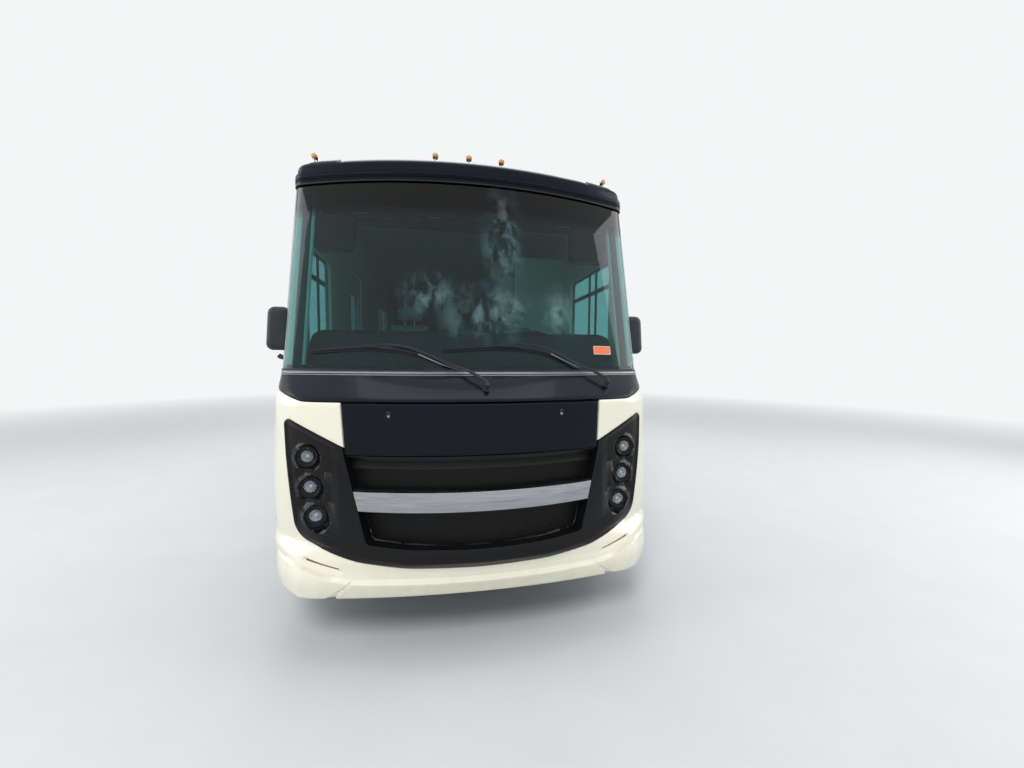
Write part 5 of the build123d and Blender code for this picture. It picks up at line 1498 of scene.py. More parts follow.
def makeCollar():
    # black moulded throat between the surround and the mesh, closed above under the hood
    edgeLine = roundedPath(
        [(0.0, 0.640, 0), (0.401, 0.644, 0.6), (0.639, 0.658, 0.035), (0.772, 1.150, 0.0)], closed=False, step=0.03)
    edgeLine = np.vstack([edgeLine[::-1] * [-1, 1], edgeLine[1:]])
    runs = toRuns(capSkin, edgeLine)
    throat = [capSkin.point(runs[:, 0], runs[:, 1], depth) for depth in (0.004, 0.03, grille["back"] + 0.012)]
    xs = np.linspace(-0.765, 0.765, 40)
    shelf = []
    for z, depth in ((1.146, 0.016), (1.150, 0.05), (1.112, grille["back"] + 0.004), (1.075, grille["back"] - 0.004)):
        shelf.append(capSkin.atX(xs, z, depth))
    for name, rows, offset in (("grilleCollar", throat, 0.0), ("grilleHeader", shelf, 1.0)):
        sheet = meshObject(name, *sheetMesh(rows), "powder", "coach")
        thicken(sheet, 0.004, offset)
        cleanUp(sheet)


def makeBacking():
    # black duct wall close behind the mesh
    half = roundedPath([(0.0, 0.630, 0), (0.66, 0.650, 0.03), (0.78, 1.150, 0.0), (0.0, 1.150, 0)], closed=False)
    skinPanel("grilleBacking", capSkin, [toRuns(capSkin, mirroredLoop(half))], "powder", "coach", spacing=0.06,
              thickness=0.004, lift=-grille["duct"], edge=0.0)


def makeBar():
    profile = [(0.044, 0.842), (0.006, 0.842), (0.002, 0.8435), (0.0, 0.847), (0.0, 0.9465), (0.001, 0.949),
               (0.0035, 0.951), (0.026, 0.9645), (0.029, 0.9665), (0.034, 0.967), (0.044, 0.967)]
    rows = []
    for depth, z in profile:
        half = float(grilleHalfWidth(z)) - 0.002
        xs = np.linspace(-half, half, 80)
        rows.append(capSkin.atX(xs, z, depth - 0.004))
    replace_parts(joinedObject("grilleBar", [stripMesh(rows)], "barChrome", "coach"), "grille_bar")


makeGrille()
makeCollar()
makeBacking()
makeBar()
print("grille made")

# Windshield: one curved pane, its black ceramic border, the rubber and the trim under it
glassShape = {"thick": 0.006, "topBorder": 0.030, "cornerBorder": 0.016}


def glassOutline(inset=0.0, side=0.0):
    heights = np.linspace(1.643 + inset, 2.987 - inset, 40)
    reach = glassSkin.runAtY(noseY + np.interp(heights, [1.640, 2.990], [0.770, 1.115]), heights) - 0.003 - side
    right = np.column_stack([reach, heights])
    return np.vstack([right, right[::-1] * [-1, 1]])


def makeWindshield():
    pane = skinPanel("windshieldGlass", glassSkin, [glassOutline()], "windshield", "coach", spacing=0.05,
                     thickness=glassShape["thick"], edge=0.0)
    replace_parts(pane, "windshield")
    border = [glassOutline(0.002, 0.002), glassOutline(glassShape["topBorder"], glassShape["cornerBorder"])]
    skinPanel("windshieldBorder", glassSkin, border, "pianoBlack", "coach", spacing=0.04, thickness=0.001,
              lift=-(glassShape["thick"] + 0.0015), edge=0.0)


def skinStrip(name, skin, low, high, lift, finish, seamFrom, seamTo, depth=0.006):
    # a band round the front between two heights, with rounded long edges
    rows = []
    profile = [(low, -depth), (low, lift * 0.5), (low + (high - low) * 0.15, lift), (high - (high - low) * 0.15, lift),
               (high, lift * 0.5), (high, -depth)]
    for z, out in profile:
        level = np.full(1, z)
        reach = float(skin.runAtY(noseY + np.interp(z, *zip(seamFrom, seamTo)), level)[0]) - 0.002
        s = np.linspace(-reach, reach, 200)
        rows.append(skin.point(s, np.full(200, z), -out))
    joinedObject(name, [stripMesh(rows)], finish, "coach")


def makePillars():
    # dark body pillars a hand behind the glass: the pane's own corner stays clear outside them
    for side, name in ((1, "pillarLeft"), (-1, "pillarRight")):
        def upright(outer, inner):
            heights = np.linspace(1.60, 2.985, 30)
            outside, inside = (np.column_stack([side * glassSkin.runAtX(np.full(30, x), heights), heights])
                               for x in (outer, inner))
            return [np.vstack([outside, inside[::-1]])]

        skinPanel(name, glassSkin, upright(1.243, 1.168), "absBlack", "coach", spacing=0.04,
                  thickness=0.030, lift=-0.040, edge=0.006)
        skinPanel(name + "Trim", glassSkin, upright(1.166, 1.146), "lining", "coach", spacing=0.04,
                  thickness=0.012, lift=-0.048, edge=0.003)


makeWindshield()
makePillars()
lowSeam, highSeam = (1.455, 0.705), (1.640, 0.770)
skinStrip("windshieldTrim", capSkin, 1.6175, 1.631, 0.004, "trim", lowSeam, highSeam)
skinStrip("windshieldBead", capSkin, 1.6065, 1.6115, 0.003, "trim", lowSeam, highSeam)
skinStrip("windshieldSeal", capSkin, 1.6315, 1.6440, 0.004, "rubberSeal", lowSeam, (1.66, 0.775))
skinStrip("browSeal", browSkin, 2.9760, 2.9860, 0.004, "rubberSeal", (2.97, 1.110), (3.0, 1.117))
print("windshield set")

# Wipers: sprung arms on two pivots, bowed blades with their rubbers, tension springs under the arms
wiperRows = [
    # arm from pivot to blade, blade from tip to heel, rod under the arm: x and z
    ([(0.058, 1.527), (0.033, 1.556), (-0.169, 1.668), (-0.432, 1.780), (-0.606, 1.800)],
     [(-1.080, 1.752), (-0.720, 1.778), (-0.513, 1.766), (-0.303, 1.720)], [(-0.060, 1.612), (-0.360, 1.736)]),
    ([(0.905, 1.540), (0.880, 1.568), (0.695, 1.678), (0.461, 1.791), (0.280, 1.813)],
     [(-0.210, 1.765), (0.140, 1.791), (0.360, 1.779), (0.585, 1.733)], [(0.805, 1.624), (0.520, 1.748)]),
]


def onFront(x, z, out):
    # a point a little in front of the cowl or the windshield
    x, z = np.asarray(x, float), np.asarray(z, float)
    depth = np.broadcast_to(-np.asarray(out, float), z.shape)
    low, high = (skin.atX(x, z, depth) for skin in (capSkin, glassSkin))
    share = np.clip((z - 1.61) / 0.05, 0, 1)[..., None]
    return low * (1 - share) + high * share


def makeWipers():
    arms, blades, springs, caps = [], [], [], []
    for arm, blade, rod in wiperRows:
        line = smoothLine(arm, 40)
        t = np.linspace(0, 1, 40)
        path = onFront(line[:, 0], line[:, 1], np.interp(t, [0, 0.12, 0.6, 1], [0.030, 0.042, 0.044, 0.036]))
        width = np.interp(t, [0, 0.1, 0.2, 0.75, 0.8, 1], [0.015, 0.015, 0.011, 0.008, 0.0055, 0.0045])
        thick = np.interp(t, [0, 0.1, 0.2, 0.75, 0.8, 1], [0.010, 0.010, 0.007, 0.005, 0.0025, 0.0025])
        arms.append(sweptRod(path, np.column_stack([thick, width]), (0, 0, 1), 12, 0.6))
        hook = smoothLine(np.array(arm[-1]) + [(0, 0), (-0.010, -0.010), (0.012, -0.024), (0.078, -0.030)], 16)
        arms.append(sweptRod(onFront(hook[:, 0], hook[:, 1], 0.034), (0.0022, 0.0045), (0, 0, 1), 8, 0.7))
        line = smoothLine(blade, 60)
        t = np.linspace(-1, 1, 60)
        height = 0.0045 + 0.0060 * (1 - np.abs(t) ** 1.6)
        path = onFront(line[:, 0], line[:, 1] + 0.005, 0.020)
        blades.append(sweptRod(path, np.column_stack([np.full(60, 0.0045), height]), (0, 0, 1), 10, 0.7))
        low = onFront(line[:, 0], line[:, 1] - height - 0.001, 0.010)
        blades.append(sweptRod(low, np.column_stack([np.full(60, 0.0016), np.full(60, 0.0055)]), (0, 0, 1), 6))
        clip = smoothLine([blade[1], (blade[1][0] + 0.10, blade[1][1] - 0.004)], 6)
        blades.append(sweptRod(onFront(clip[:, 0], clip[:, 1] + 0.008, 0.028), (0.009, 0.010), (0, 0, 1), 10, 0.6))
        line = smoothLine([rod[0], np.mean(rod, 0) - [0, 0.004], rod[1]], 20)
        springs.append(sweptRod(onFront(line[:, 0], line[:, 1], 0.030), (0.0035, 0.0035), (0, 0, 1), 8))
        px, pz = arm[0]
        centre = onFront(px, pz, 0.0)
        facing = capSkin.normal(capSkin.runAtX(np.array(px), np.array(pz)), np.array(pz))
        caps.append(latheMesh([(0.0005, -0.004), (0.024, -0.004), (0.024, 0.004), (0.019, 0.009), (0.016, 0.030),
                               (0.0145, 0.042), (0.010, 0.047), (0.0005, 0.048)], centre, facing, 28))
    wipers = joinedObject("wiperArms", arms + caps, "absBlack", "coach")
    joinedObject("wiperBlades", blades, "rubberSeal", "coach")
    joinedObject("wiperSprings", springs, "aluminium", "coach")
    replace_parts(wipers, "wipers")


makeWipers()
print("wipers made")

# Mirrors: domed shells with a flat glass behind, each on an arm from the cab side
mirrorShape = {"setBack": 1.042, "outline": ((1.330, 1.775, 0.045), (1.512, 1.775, 0.045), (1.488, 2.100, 0.050),
                                             (1.345, 2.100, 0.050)), "armZ": 1.722, "stubX": 1.412}


def makeMirrors():
    shells, faces, arms = [], [], []
    for side in (-1, 1):
        outline = roundedPath(mirrorShape["outline"], step=0.02)
        y = noseY + mirrorShape["setBack"]

        def place(u, v, out):
            return Vector((side * u, y + out, v))

        shells.append(plate(outline, place, [
            (0.052, -0.0530), (0.040, -0.0500), (0.028, -0.045), (0.017, -0.037), (0.008, -0.026), (0.003, -0.014),
            (0.0, 0.002), (0.001, 0.036), (0.004, 0.046), (0.008, 0.049), (0.013, 0.049), (0.0145, 0.040)]))
        faces.append(plate(outline, place, [(0.0155, 0.040), (0.0155, 0.0425), (0.017, 0.0430)]))
        z, x = mirrorShape["armZ"], mirrorShape["stubX"]
        path = smoothLine([(side * 1.288, y + 0.010, z - 0.012), (side * 1.33, y + 0.004, z - 0.008),
                           (side * 1.40, y, z), (side * (x + 0.012), y, z + 0.012)], 18)
        arms.append(sweptRod(path, (0.026, 0.017), (0, 0, 1), 16, 0.8))
        arms.append(latheMesh([(0.0005, -0.020), (0.030, -0.020), (0.034, -0.014), (0.034, 0.040), (0.030, 0.046),
                               (0.026, 0.052), (0.026, 0.062), (0.0005, 0.062)], (side * x, y, z), (0, 0, 1), 28))
        foot = rectangle(-0.055, -0.040, 0.055, 0.032, 0.022, step=0.02)
        arms.append(plate(foot, lambda u, v, out: Vector((side * (1.2895 + out), y + 0.01 + u, z - 0.012 + v)),
                          [(0, 0), (0, 0.007), (0.004, 0.012), (0.012, 0.014)]))
    shell = joinedObject("mirrorShells", shells, "absBlack", "coach")
    joinedObject("mirrorFaces", faces, "chrome", "coach")
    joinedObject("mirrorArms", arms, "absBlack", "coach")
    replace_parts(shell, "mirrors")


makeMirrors()
print("mirrors made")

# Clearance lamps: chrome bullets with amber domes on short feet along the brow
bulletRows = [(-1.205, 1.262, 3.312), (-0.265, 1.110, 3.325), (0.0, 1.100, 3.326), (0.265, 1.110, 3.325),
              (1.205, 1.262, 3.312)]


def makeBullets():
    shells, domes = [], []
    for x, setBack, z in bulletRows:
        y = noseY + setBack
        shells.append(latheMesh([
            (0.0195, 0.021), (0.0215, 0.024), (0.0245, 0.020), (0.0255, 0.010), (0.0248, -0.004), (0.0215, -0.020),
            (0.015, -0.036), (0.007, -0.048), (0.0005, -0.051)], (x, y, z), (0, -1, 0.06), 32))
        domes.append(latheMesh([
            (0.0195, 0.018), (0.0190, 0.0265), (0.0155, 0.0335), (0.0085, 0.0375), (0.0005, 0.0385)],
            (x, y, z), (0, -1, 0.06), 28))
        foot = rectangle(-0.013, -0.024, 0.013, 0.024, 0.012, step=0.01)
        shells.append(plate(foot, lambda u, v, out: Vector((x + u, y - 0.002 + v, z - 0.034 + out)),
                            [(-0.003, -0.030), (-0.003, 0.000), (0.001, 0.006), (0.004, 0.014), (0.004, 0.026)]))
    shell = joinedObject("bulletShells", shells, "chrome", "coach")
    joinedObject("bulletDomes", domes, "amberDome", "coach")
    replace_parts(shell, "clearance_lamps")


def makeSticker():
    # plain orange sticker low on the windshield, its pale border round it
    for name, inset, out, finish in (
            ("stickerBorder", 0.0, 0.0006, "shroud"), ("stickerFace", 0.004, 0.0009, "sticker")):
        loop = rectangle(0.880 + inset, 1.757 + inset, 1.032 - inset, 1.819 - inset, 0.008, step=0.02)
        skinPanel(name, glassSkin, [toRuns(glassSkin, loop)], finish, "coach", spacing=0.02, thickness=0.0005,
                  lift=out, edge=0.0)


makeBullets()
makeSticker()
print("clearance lamps and sticker made")

# Cab and rooms behind the glass: dashboard, wheel, cabinets
dashProfile = [(0.500, 1.330, 0.01), (0.500, 1.600, 0.05), (0.720, 1.700, 0.20), (0.900, 1.900, 0.10),
               (0.965, 1.931, 0.06), (1.050, 1.926, 0.05), (1.130, 1.830, 0.08), (1.180, 1.330, 0.01)]
wheelShape = {"x": 0.560, "setBack": 1.330, "z": 1.840, "radius": 0.206, "grip": 0.0155, "axis": (0, 0.55, 0.83)}


def frontBow(x):
    # how far the dashboard's front falls back with the curve of the windshield
    return 3.2 - math.sqrt(3.2 ** 2 - x * x)


def makeDashboard():
    section = roundedPath(dashProfile, closed=True, step=0.03)
    rows = []
    leftEnd = np.linspace(1.06, 1.180, 12)
    for x in np.concatenate([-leftEnd[::-1], np.linspace(-1.04, 1.04, 40), leftEnd]):
        fall = np.clip((abs(x) - 1.06) / 0.12, 0, 1)
        drop = 1 - math.sqrt(max(0.0, 1 - fall ** 2))
        shoulder = np.clip((section[:, 1] - 1.50) / 0.35, 0, 1)
        z = section[:, 1] - 0.085 * drop * shoulder
        bow = frontBow(x) * 1.25 * np.clip((0.97 - section[:, 0]) / 0.42, 0, 1)
        swell = bow + 0.012 * math.exp(-((x - 0.56) / 0.26) ** 2) * np.clip((section[:, 0] - 0.95) / 0.1, 0, 1)
        rows.append([Vector((x, noseY + y + s, h)) for y, h, s in zip(section[:, 0], z, swell)])
    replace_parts(joinedObject("dashboardTop", [tubeMesh(rows)], "vinyl", "coach"), "dashboard")
    slots = [Vector((x, noseY + 0.640 + frontBow(x) * 0.98, 1.6665)) for x in np.arange(-0.90, 0.92, 0.049)]
    vane = roundedBlock((-0.019, -0.006, -0.004), (0.019, 0.006, 0.0035), 0.002, 2)
    copiesOf("defrosterSlots", vane, slots, (0, -0.41, 0.91), (1, 0, 0), "absBlack", "coach")

    def face(u, v, out):
        return Vector((u, noseY + 1.150 - (v - 1.70) * 0.10 + out, v))

    panels = [plate(rectangle(0.350, 1.640, 0.770, 1.800, 0.05), face, [(0, -0.01), (0, 0.006), (0.005, 0.011),
                                                                      (0.016, 0.011)]),
              plate(rectangle(-0.130, 1.600, 0.150, 1.790, 0.015), face, [(0, -0.01), (0, 0.006), (0.003, 0.009)])]
    joinedObject("gaugePanels", panels, "pianoBlack", "coach")
    rings = []
    for x, r in ((0.46, 0.052), (0.66, 0.052), (0.56, 0.030)):
        rings.append(latheMesh([(r - 0.005, 0.0), (r - 0.005, 0.010), (r, 0.013), (r + 0.002, 0.009), (r + 0.002, 0.0),
                                (r - 0.005, 0.0)], face(x, 1.720, 0.006), (0, 1, 0.1), 36))
    joinedObject("gaugeRings", rings, "chrome", "coach")


def makeSteeringWheel():
    w = wheelShape
    axis = Vector(w["axis"]).normalized()
    centre = Vector((w["x"], noseY + w["setBack"], w["z"]))
    across = Vector((1, 0, 0))
    upward = axis.cross(across)
    rim = [(w["radius"] + w["grip"] * math.cos(a), w["grip"] * math.sin(a)) for a in np.linspace(0, 2 * math.pi, 17)]
    parts = [latheMesh(rim, centre, axis, 64)]
    pad = [(0.0005, 0.022), (0.040, 0.021), (0.062, 0.014), (0.070, 0.0), (0.066, -0.020), (0.045, -0.040),
           (0.0005, -0.045)]
    parts.append(latheMesh(pad, centre - axis * 0.022, axis, 40, squash=0.85))
    for turn in (0.0, math.pi, -0.95, -2.19):
        way = across * math.cos(turn) - upward * math.sin(-turn)
        inner = centre + way * 0.050 - axis * 0.030
        parts.append(sweptRod([inner, inner.lerp(centre + way * w["radius"], 0.4) - axis * 0.004,
                               centre + way * (w["radius"] - 0.012) - axis * 0.002, centre + way * w["radius"]],
                              [(0.022, 0.008), (0.018, 0.007), (0.014, 0.006), (0.012, 0.006)], tuple(axis), 14))
    column = centre - axis * 0.05
    parts.append(sweptRod([column, column - axis * 0.06, column - axis * 0.20, column - axis * 0.262],
                          [(0.030, 0.030), (0.044, 0.044), (0.050, 0.052), (0.050, 0.052)], (1, 0, 0), 20))
    for side in (-1, 1):
        stalk = column - axis * 0.05
        middle, end = (stalk + across * side * way + axis * rise for way, rise in ((0.07, 0.01), (0.155, 0.02)))
        parts.append(sweptRod([stalk, middle, end], [(0.007, 0.007), (0.006, 0.006), (0.009, 0.006)], tuple(axis), 12))
    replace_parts(joinedObject("steeringWheel.rim", parts, "vinyl", "coach"), "steering_wheel")


# front faces behind the nose, and the counter's face and levels
cabinetShape = {"overhead": 1.300, "pods": 1.240, "partition": 6.302, "counterX": -0.662, "floor": 1.121}


def pull(place, u, v, out):
    # bow handle along u, its feet 100 mm apart
    return sweptRod([place(u - 0.050, v, out), place(u - 0.045, v, out + 0.018), place(u + 0.045, v, out + 0.018),
                     place(u + 0.050, v, out)], (0.004, 0.004), (0, 0, 1), 10)


def makeCabinets():
    carcass, doors, pulls, linings, tops = [], [], [], [], []

    def front(u, v, out):
        return Vector((u, noseY + cabinetShape["overhead"] - out, v))

    carcass.append(plate(rectangle(-1.180, 2.847, 1.180, 3.195, 0.020), front, [
        (0, -0.120), (0, -0.004), (0.004, 0.0)]))
    for x0, x1 in ((-1.150, -0.590), (-0.570, -0.010), (0.010, 0.570), (0.590, 1.150)):
        doors.append(plate(rectangle(x0, 2.885, x1, 3.165, 0.006), front, [
            (0, -0.002), (0, 0.014), (0.004, 0.018), (0.045, 0.018), (0.052, 0.012), (0.075, 0.012), (0.085, 0.017)]))
        pulls.append(pull(front, (x0 + x1) / 2, 2.905, 0.016))
    for side in (-1, 1):
        pod = roundedPath([(side * 0.925, 2.600, 0.060), (side * 1.225, 2.600, 0.010), (side * 1.225, 2.860, 0.004),
                           (side * 0.925, 2.860, 0.004)][::side], step=0.03)
        linings.append(plate(pod, lambda u, v, out: Vector((u, noseY + cabinetShape["pods"] - out, v)), [
            (0, -0.120), (0, -0.006), (0.006, 0.0)]))
    # partition with its closed sliding door, and the counter with drawers
    floor, partition = cabinetShape["floor"], noseY + cabinetShape["partition"]
    carcass.append(roundedBlock((-1.238, partition, floor), (1.238, noseY + 6.350, 3.198), 0.004))

    def wall(u, v, out):
        return Vector((u, partition - out, v))

    for x0, x1 in ((-1.15, -0.42), (-0.34, 0.34), (0.42, 1.15)):
        doors.append(plate(rectangle(x0, 1.180, x1, 3.120, 0.006), wall, [
            (0, -0.002), (0, 0.014), (0.004, 0.018), (0.070, 0.018), (0.078, 0.011), (0.110, 0.011), (0.122, 0.017)]))
        bow = [wall(x1 - 0.04, v, out) for v, out in ((1.95, 0.016), (1.955, 0.036), (2.145, 0.036), (2.15, 0.016))]
        pulls.append(sweptRod(bow, (0.005, 0.005), (1, 0, 0), 10))
    carcass.append(roundedBlock(
        (-1.238, noseY + 3.520, floor), (cabinetShape["counterX"], noseY + 5.580, 1.958), 0.006))
    tops.append(roundedBlock((-1.238, noseY + 3.500, 1.958), (-0.640, noseY + 5.600, 1.998), 0.010))

    def side(u, v, out):
        return Vector((cabinetShape["counterX"] + out, noseY + u, v))

    for k in range(4):
        y0 = 3.560 + 0.500 * k
        for z0, z1 in ((1.180, 1.660), (1.690, 1.930)):
            doors.append(plate(rectangle(y0, z0, y0 + 0.460, z1, 0.006), side, [
                (0, -0.002), (0, 0.012), (0.004, 0.016), (0.040, 0.016), (0.047, 0.010), (0.066, 0.010),
                (0.075, 0.015)]))
            pulls.append(pull(side, y0 + 0.23, z1 - 0.03, 0.014))
    cabinets = joinedObject("cabinetCarcasses", carcass, "cherry", "coach")
    joinedObject("cabinetDoors", doors, "cherry", "coach")
    joinedObject("cabinetPulls", pulls, "trim", "coach")
    joinedObject("cabPods", linings, "absBlack", "coach")
    joinedObject("counterTop", tops, "shroud", "coach")
    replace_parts(cabinets, "interior_cabinets")


makeDashboard()
makeSteeringWheel()
makeCabinets()
print("cab and cabinets made")

# Seats: simulated leather pads, shells, headrest posts and armrests
seatShape = {
    "x": 0.560, "voxel": 0.010, "pressure": 4.0, "cap": 0.022, "frames": 20, "lean": 0.17, "pivotY": 2.02,
    "pivotZ": 1.56, "seamHalf": 0.007,
}


def leaning(points):
    # turned back with the seat's back, about its foot
    turn = np.array(Matrix.Rotation(-seatShape["lean"], 3, "X"))
    pivot = np.array([0, noseY + seatShape["pivotY"], seatShape["pivotZ"]])
    return (np.asarray(points, float) - pivot) @ turn.T + pivot


def simulatedPad(name, block, channels, leans):
    # a pad that swells under its own pressure, then gets its sewn channels; points of it are given back
    pad = joinedObject(name, [block], "leather", None)
    remesh = pad.modifiers.new("cells", "REMESH")
    remesh.mode, remesh.voxel_size, remesh.use_smooth_shade = "VOXEL", seatShape["voxel"], True
    finishModifiers(pad)
    rest = vertexValues(pad.data)
    cloth = pad.modifiers.new("cloth", "CLOTH")
    cloth.settings.use_pressure = True
    cloth.settings.uniform_pressure_force = seatShape["pressure"]
    cloth.settings.effector_weights.gravity = 0
    for frameNumber in range(1, seatShape["frames"] + 1):
        bpy.context.scene.frame_set(frameNumber)
    step = vertexValues(pad.evaluated_get(bpy.context.evaluated_depsgraph_get()).data) - rest
    far = np.linalg.norm(step, axis=1, keepdims=True)
    rest = rest + step * np.minimum(1, seatShape["cap"] / np.maximum(far, 1e-9))
    pad.modifiers.clear()
    bpy.context.scene.frame_set(1)
    pad.data.vertices.foreach_set("co", rest.ravel())
    soft = pad.modifiers.new("soft", "SUBSURF")
    soft.levels = soft.render_levels = 1
    finishModifiers(pad)
    flat, normals = vertexValues(pad.data), vertexValues(pad.data, "normal")
    for axis, value, low, high, depth in channels:
        other = 0 if axis != 0 else (2 if leans else 1)
        inside = (flat[:, other] > low) & (flat[:, other] < high)
        groove = depth * np.exp(-((flat[:, axis] - value) / seatShape["seamHalf"]) ** 2) * inside
        flat = flat - normals * groove[:, None]
    if leans:
        flat = leaning(flat)
    polygons = [tuple(face.vertices) for face in pad.data.polygons]
    bpy.data.objects.remove(pad)
    return flat, polygons


def makeSeats():
    y = noseY
    # block, channels (axis across them, place, from and to, depth), whether it leans
    pads = {
        "Cushion": (roundedBlock((-0.228, y + 1.530, 1.455), (0.228, y + 2.000, 1.560), 0.045, 5),
                    [(0, -0.150, y + 1.56, y + 2.03, 0.009), (0, 0.150, y + 1.56, y + 2.03, 0.009),
                     (1, y + 1.68, -0.15, 0.15, 0.008), (1, y + 1.83, -0.15, 0.15, 0.008)], False),
        "Back": (roundedBlock((-0.215, y + 1.985, 1.530), (0.215, y + 2.085, 2.105), 0.045, 5),
                 [(0, -0.140, 1.56, 2.08, 0.009), (0, 0.140, 1.56, 2.08, 0.009), (2, 1.70, -0.14, 0.14, 0.008),
                  (2, 1.84, -0.14, 0.14, 0.008), (2, 1.98, -0.14, 0.14, 0.008)], True),
        "Headrest": (roundedBlock((-0.125, y + 1.990, 2.135), (0.125, y + 2.065, 2.275), 0.034, 5),
                     [(2, 2.205, -0.15, 0.15, 0.005)], True),
    }
    first = None
    for title, (block, channels, leans) in pads.items():
        flat, faces = simulatedPad("pad" + title, block, channels, leans)
        for side, name in ((1, "Left"), (-1, "Right")):
            moved = flat + [side * seatShape["x"], 0, 0]
            pad = meshObject("seat" + title + name, moved, faces, "leather", "coach")
            first = first or pad
    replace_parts(first, "seats")
    shells, arms, posts = [], [], []
    for side in (-1, 1):
        x = side * seatShape["x"]
        shells.append(roundedBlock((x - 0.235, y + 1.520, 1.420), (x + 0.235, y + 2.010, 1.462), 0.018))
        back, faces = roundedBlock((x - 0.205, y + 2.080, 1.560), (x + 0.205, y + 2.100, 2.090), 0.009)
        shells.append((leaning(back), faces))
        for shift in (-0.05, 0.05):
            ends = leaning([(x + shift, y + 2.030, z) for z in (2.06, 2.10, 2.15)])
            posts.append(sweptRod(ends, (0.006, 0.006), (0, 1, 0), 12))
        for out in (-0.246, 0.246):
            line = [(x + out, y + back, z) for back, z in ((2.060, 1.735), (1.930, 1.752), (1.720, 1.755))]
            arms.append(sweptRod(smoothLine(line, 14), (0.024, 0.028), (0, 0, 1), 16, 0.75))
    joinedObject("seatShells", shells, "absBlack", "coach")
    joinedObject("headrestPosts", posts, "chrome", "coach")
    joinedObject("seatArmrests", arms, "leather", "coach")


makeSeats()
print("seats made")

# Sides: window frames, latches, seals, hinges
sideWindows = [
    # side, start and end behind the nose, sill, head, posts
    (1, 1.150, 2.210, 1.740, 2.600, (1.537, 1.708)), (1, 7.500, 8.300, 2.050, 2.600, (7.900,)),
    (-1, 1.150, 1.760, 1.740, 2.600, (1.505,)), (-1, 4.400, 5.300, 2.000, 2.600, (4.850,)),
    (-1, 7.500, 8.300, 2.050, 2.600, (7.900,)),
]
frameSection = [(-0.014, -0.002), (-0.014, 0.004), (-0.008, 0.0075), (0.012, 0.0075), (0.018, 0.003), (0.020, -0.013),
                (0.006, -0.014)]


def onSide(side, face=1.290):
    # place of a point by distance behind the nose, height, and reach out of the side
    return lambda u, v, out: Vector((side * (face + out), noseY + u, v))


def makeWindowFrames():
    frames, posts = [], []
    for side, start, end, low, high, bars in sideWindows:
        place = onSide(side)
        frames.append(ringFrame(rectangle(start, low, end, high, 0.055), place, frameSection))
        for y in bars:
            posts.append(plate(rectangle(y - 0.016, low + 0.010, y + 0.016, high - 0.010, 0.004), place,
                               [(0, -0.013), (0, -0.002), (0.003, 0.001)]))
        if start < 1.2:  # the cab's windows have a bar across too
            posts.append(plate(rectangle(start + 0.012, 2.372, end - 0.012, 2.412, 0.004), place,
                               [(0, -0.013), (0, -0.001), (0.003, 0.002)]))
    joinedObject("windowFrames", frames, "absBlack", "coach")
    joinedObject("windowPosts", posts, "absBlack", "coach")
    doorFrame = [ringFrame(rectangle(2.580, 1.900, 2.980, 2.500, 0.055), onSide(-1), frameSection)]
    joinedObject("doorWindowFrame", doorFrame, "absBlack", "door")
    roomFrame = [ringFrame(rectangle(3.200, 1.950, 4.600, 2.650, 0.055), onSide(1, 1.300), frameSection),
                 plate(rectangle(3.885, 1.960, 3.915, 2.640, 0.004), onSide(1, 1.300),
                       [(0, -0.001), (0, 0.003), (0.003, 0.006)])]
    joinedObject("roomWindowFrame", roomFrame, "absBlack", "slideout")


def makeDoorDetails():
    place = onSide(-1)
    # entry door: bevelled edge trim, paddle latch with its key cylinder, grab handle beside it, its seal
    trim = ringFrame(rectangle(2.453, 0.632, 3.101, 2.711, 0.045), place, [
        (0.0, -0.002), (0.0, 0.003), (0.004, 0.0055), (0.014, 0.0055), (0.019, 0.002), (0.019, -0.002)])
    joinedObject("entryDoorTrim", [trim], "trim", "door")
    cup = plate(rectangle(2.985, 1.600, 3.075, 1.730, 0.018), place, [
        (0, -0.001), (0, 0.005), (0.004, 0.009), (0.010, 0.009), (0.014, 0.003), (0.030, 0.003)])
    paddle = plate(rectangle(3.000, 1.622, 3.058, 1.690, 0.012), place, [(0, 0.003), (0, 0.009), (0.005, 0.014),
                                                                       (0.016, 0.015)])
    lock = latheMesh([(0.0005, 0.0), (0.010, 0.0), (0.010, 0.012), (0.008, 0.014), (0.0005, 0.0135)],
                     place(3.030, 1.7085, 0.0), (-1, 0, 0), 24)
    joinedObject("entryDoorLatch", [cup], "absBlack", "door")
    joinedObject("entryDoorPaddle", [paddle, lock], "chrome", "door")
    grab = smoothLine([(-x, noseY + 3.205, z) for x, z in (
        (1.292, 1.20), (1.335, 1.225), (1.340, 1.50), (1.335, 1.775), (1.292, 1.80))], 44)
    feet = [plate(rectangle(3.180, z - 0.035, 3.230, z + 0.035, 0.018), place, [(0, 0), (0, 0.005), (0.004, 0.009)])
            for z in (1.20, 1.80)]
    joinedObject("entryGrabRail", [sweptRod(grab, (0.013, 0.013), (0, 1, 0), 16)], "aluminium", "coach")
    joinedObject("entryGrabFeet", feet, "absBlack", "coach")
    seal = ringFrame(rectangle(2.450, 0.620, 3.110, 2.720, 0.045), place, [
        (-0.026, -0.001), (-0.026, 0.002), (-0.020, 0.004), (-0.014, 0.002), (-0.013, -0.001)])
    joinedObject("entryDoorSeal", [seal], "rubberSeal", "coach")


